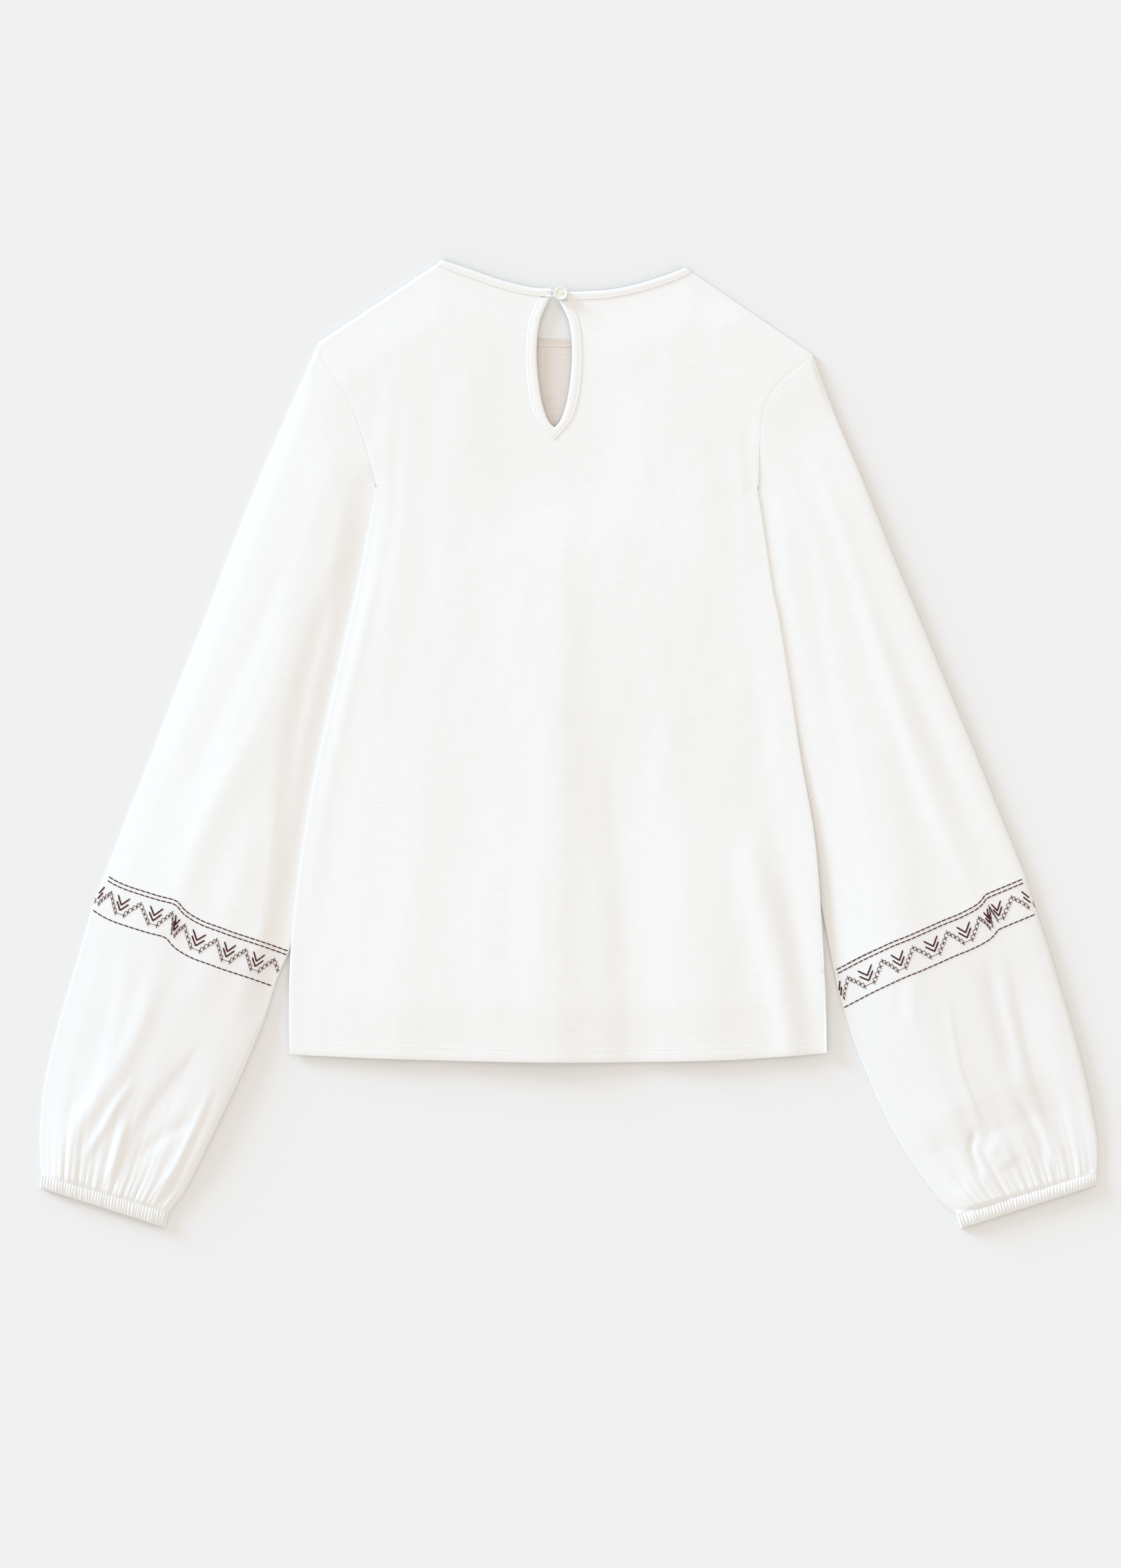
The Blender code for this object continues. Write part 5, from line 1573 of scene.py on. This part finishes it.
def chart_ends(side, repeat, lines):
    """The chart's lines placed at a repeat. The right sleeve's chart is the left one's mirror image."""
    hand = inwards(side)
    return [tuple(on_border(side, repeat + hand * place / REPEAT, up) for place, up in line)
            for line in lines]


# %% Lines of the cross-stitches
REACH, RISE = CROSS_REACH
level_threads = [((x - REACH, up), (x + REACH, up)) for x, up in CROSSES[:-1]]
upright_threads = [((x, up - RISE), (x, up + RISE)) for x, up in CROSSES[:-1]]
linking_threads = [(CROSSES[4], CROSSES[5])]
for (x, up), (next_x, next_up) in zip(CROSSES, CROSSES[1:]):
    if next_up < up - 1.0:
        linking_threads.append(((x + REACH, up + 0.2), (next_x + 0.2, next_up + RISE)))
    elif next_up > up + 1.0:
        linking_threads.append(((x - 0.2, up + RISE), (next_x - REACH, next_up + 0.2)))
print("threads in one repeat:", len(level_threads + upright_threads + linking_threads))

# %% Embroidery
RUNNING_STITCH, RUNNING_GAP = 3.9, 0.45
REPEATS = np.arange(-1.0, 9.0)

on_body = surface_of([back_piece])
for side in SIDES:
    on_sleeve = surface_of([upper_pieces[side], lower_pieces[side]])
    running = []
    for up in RUNNING_LINES:
        line = np.array([on_border(side, repeat, up) for repeat in np.linspace(-0.8, 7.8, 140)])
        running += stitch_ends(line, RUNNING_STITCH, RUNNING_GAP)
    # The lines of the chart, the thread's width and thickness, and its lift off the cloth.
    chart = {
        "running_lines": (running, 0.9, 0.5, 0.08),
        "linking_threads": (linking_threads, 0.36, 0.28, 0.08),
        "level_threads": (level_threads, 0.56, 0.42, 0.08),
        "upright_threads": (upright_threads, 0.58, 0.42, 0.26),
        "chevrons": (CHEVRONS, 1.2, 0.65, 0.08),
    }
    for name, (lines, width, thickness, lift) in chart.items():
        ends = lines
        if name != "running_lines":
            ends = [pair for repeat in REPEATS for pair in chart_ends(side, repeat, lines)]
        piece = lay_stitches(f"{side}_{name}", ends, width, thickness, on_sleeve, MAROON_THREAD,
                             on_body, lift)

# %% [markdown]
# ## Button and loop
#
# The button is turned from shell: a disc with a rim, a shallow dish and two drilled holes. It starts as
# a cylinder whose top is inset for the rim and pushed down for the dish. Its outer edges are bevelled,
# and the holes are drilled with a boolean. The thread passes through both holes and forms a short
# shank. The loop keeps its solid, which is a bent thread already, and gets the look of one.

# %% Button
BUTTON_CENTRE = (2.8, 339.5)
BUTTON_RADIUS = 5.0
BUTTON_UNDER, BUTTON_TOP = 4.2, 6.4
RIM_WIDTH, DISH_DEPTH = 0.9, 0.5
HOLE_OFFSET, HOLE_RADIUS = 1.5, 0.75
button_x = (BUTTON_CENTRE[0] + BODY_CENTRE[0]) * MM
button_y = (BUTTON_CENTRE[1] + BODY_CENTRE[1]) * MM


def add_cylinder(name, radius, low, high, shift=0.0, vertices=32):
    """A cylinder over the button's centre, with its place in its mesh."""
    bpy.ops.object.select_all(action="DESELECT")
    bpy.ops.mesh.primitive_cylinder_add(
        vertices=vertices, radius=radius * MM, depth=(high - low) * MM,
        location=(button_x + shift * MM, button_y, (low + high) / 2 * MM))
    bpy.ops.object.transform_apply(location=True, rotation=False, scale=False)
    bpy.context.active_object.name = name
    return bpy.context.active_object


button_piece = add_cylinder("shell_button", BUTTON_RADIUS, BUTTON_UNDER, BUTTON_TOP, vertices=56)
select_faces(button_piece, lambda face: face.normal.z > 0.9)
bpy.ops.mesh.inset(thickness=RIM_WIDTH * MM)
bpy.ops.mesh.inset(thickness=DISH_DEPTH * MM, depth=-DISH_DEPTH * MM)
bpy.ops.object.mode_set(mode="OBJECT")
rim = button_piece.modifiers.new("turned_rim", "BEVEL")
rim.width, rim.segments, rim.limit_method, rim.angle_limit = 0.35 * MM, 3, "ANGLE", math.radians(30)
bpy.ops.object.modifier_apply(modifier=rim.name)
for shift in (-HOLE_OFFSET, HOLE_OFFSET):
    drill = add_cylinder("drill", HOLE_RADIUS, BUTTON_UNDER - 1, BUTTON_TOP + 1, shift, 20)
    take_away(button_piece, drill)
bpy.ops.object.shade_smooth_by_angle(angle=math.radians(40))
button_piece.data.materials.append(PEARL)
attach(button_piece, "root")
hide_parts("button")
print("button:", len(button_piece.data.polygons), "faces")

# %% Thread of the button
shank_parts = [add_cylinder("button_shank", 0.9, 3.1, BUTTON_UNDER + 0.05, vertices=16)]
for shift in (-HOLE_OFFSET, HOLE_OFFSET):
    shank_parts.append(add_cylinder("strand", 0.42, BUTTON_UNDER - 0.1, BUTTON_TOP - 0.3, shift, 10))
for across in (-0.28, 0.28):
    centre = Matrix.Translation((button_x, button_y + across * MM, (BUTTON_TOP - 0.32) * MM))
    shank_parts.append(stitch_copy(centre @ Matrix.Diagonal((4.2 * MM, 0.5 * MM, 0.45 * MM, 1.0))))
shank = join(shank_parts)
bpy.ops.object.shade_smooth_by_angle(angle=math.radians(40))
shank.data.materials.append(SEWING_THREAD)
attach(shank, "root")
print("button's thread:", len(shank.data.polygons), "faces")

loop = frame["nodes"]["button_loop"]
loop.data.materials.clear()
loop.data.materials.append(LOOP_THREAD)
bpy.data.objects.remove(STITCH)

# %% [markdown]
# ## Light
#
# White cloth on a white board shows its form only through soft differences. A large cool lamp low on
# the upper left rakes across it and throws the pale shadows on the right. Warm light from all round
# fills them, which is why they look faintly pink.

# %% Floor and light
bpy.ops.object.select_all(action="DESELECT")
bpy.ops.mesh.primitive_plane_add(size=80.0, location=(0.0, 0.0, -0.0001))
floor = bpy.context.active_object
floor.name = "floor"
floor.data.materials.append(BOARD)

KEY_FROM = Vector((-0.80, 0.60, 0.185))
ROOM_COLOUR, ROOM_STRENGTH = (1.0, 0.948, 0.892, 1.0), 0.980

key_data = bpy.data.lights.new("raking_lamp", "SUN")
key_data.energy = 3.60
key_data.angle = math.radians(15.0)
key_data.color = (0.50, 0.75, 1.0)
key = bpy.data.objects.new("raking_lamp", key_data)
key.rotation_euler = KEY_FROM.to_track_quat("Z", "Y").to_euler()
bpy.context.scene.collection.objects.link(key)

world = bpy.data.worlds.new("soft_room")
world.use_nodes = True
background = world.node_tree.nodes["Background"]
background.inputs["Color"].default_value = ROOM_COLOUR
background.inputs["Strength"].default_value = ROOM_STRENGTH
bpy.context.scene.world = world
bpy.context.scene.view_settings.view_transform = "Standard"
lamp_height = math.degrees(math.asin(KEY_FROM.normalized().z))
print("lamp:", round(lamp_height, 1), "degrees above the surface")
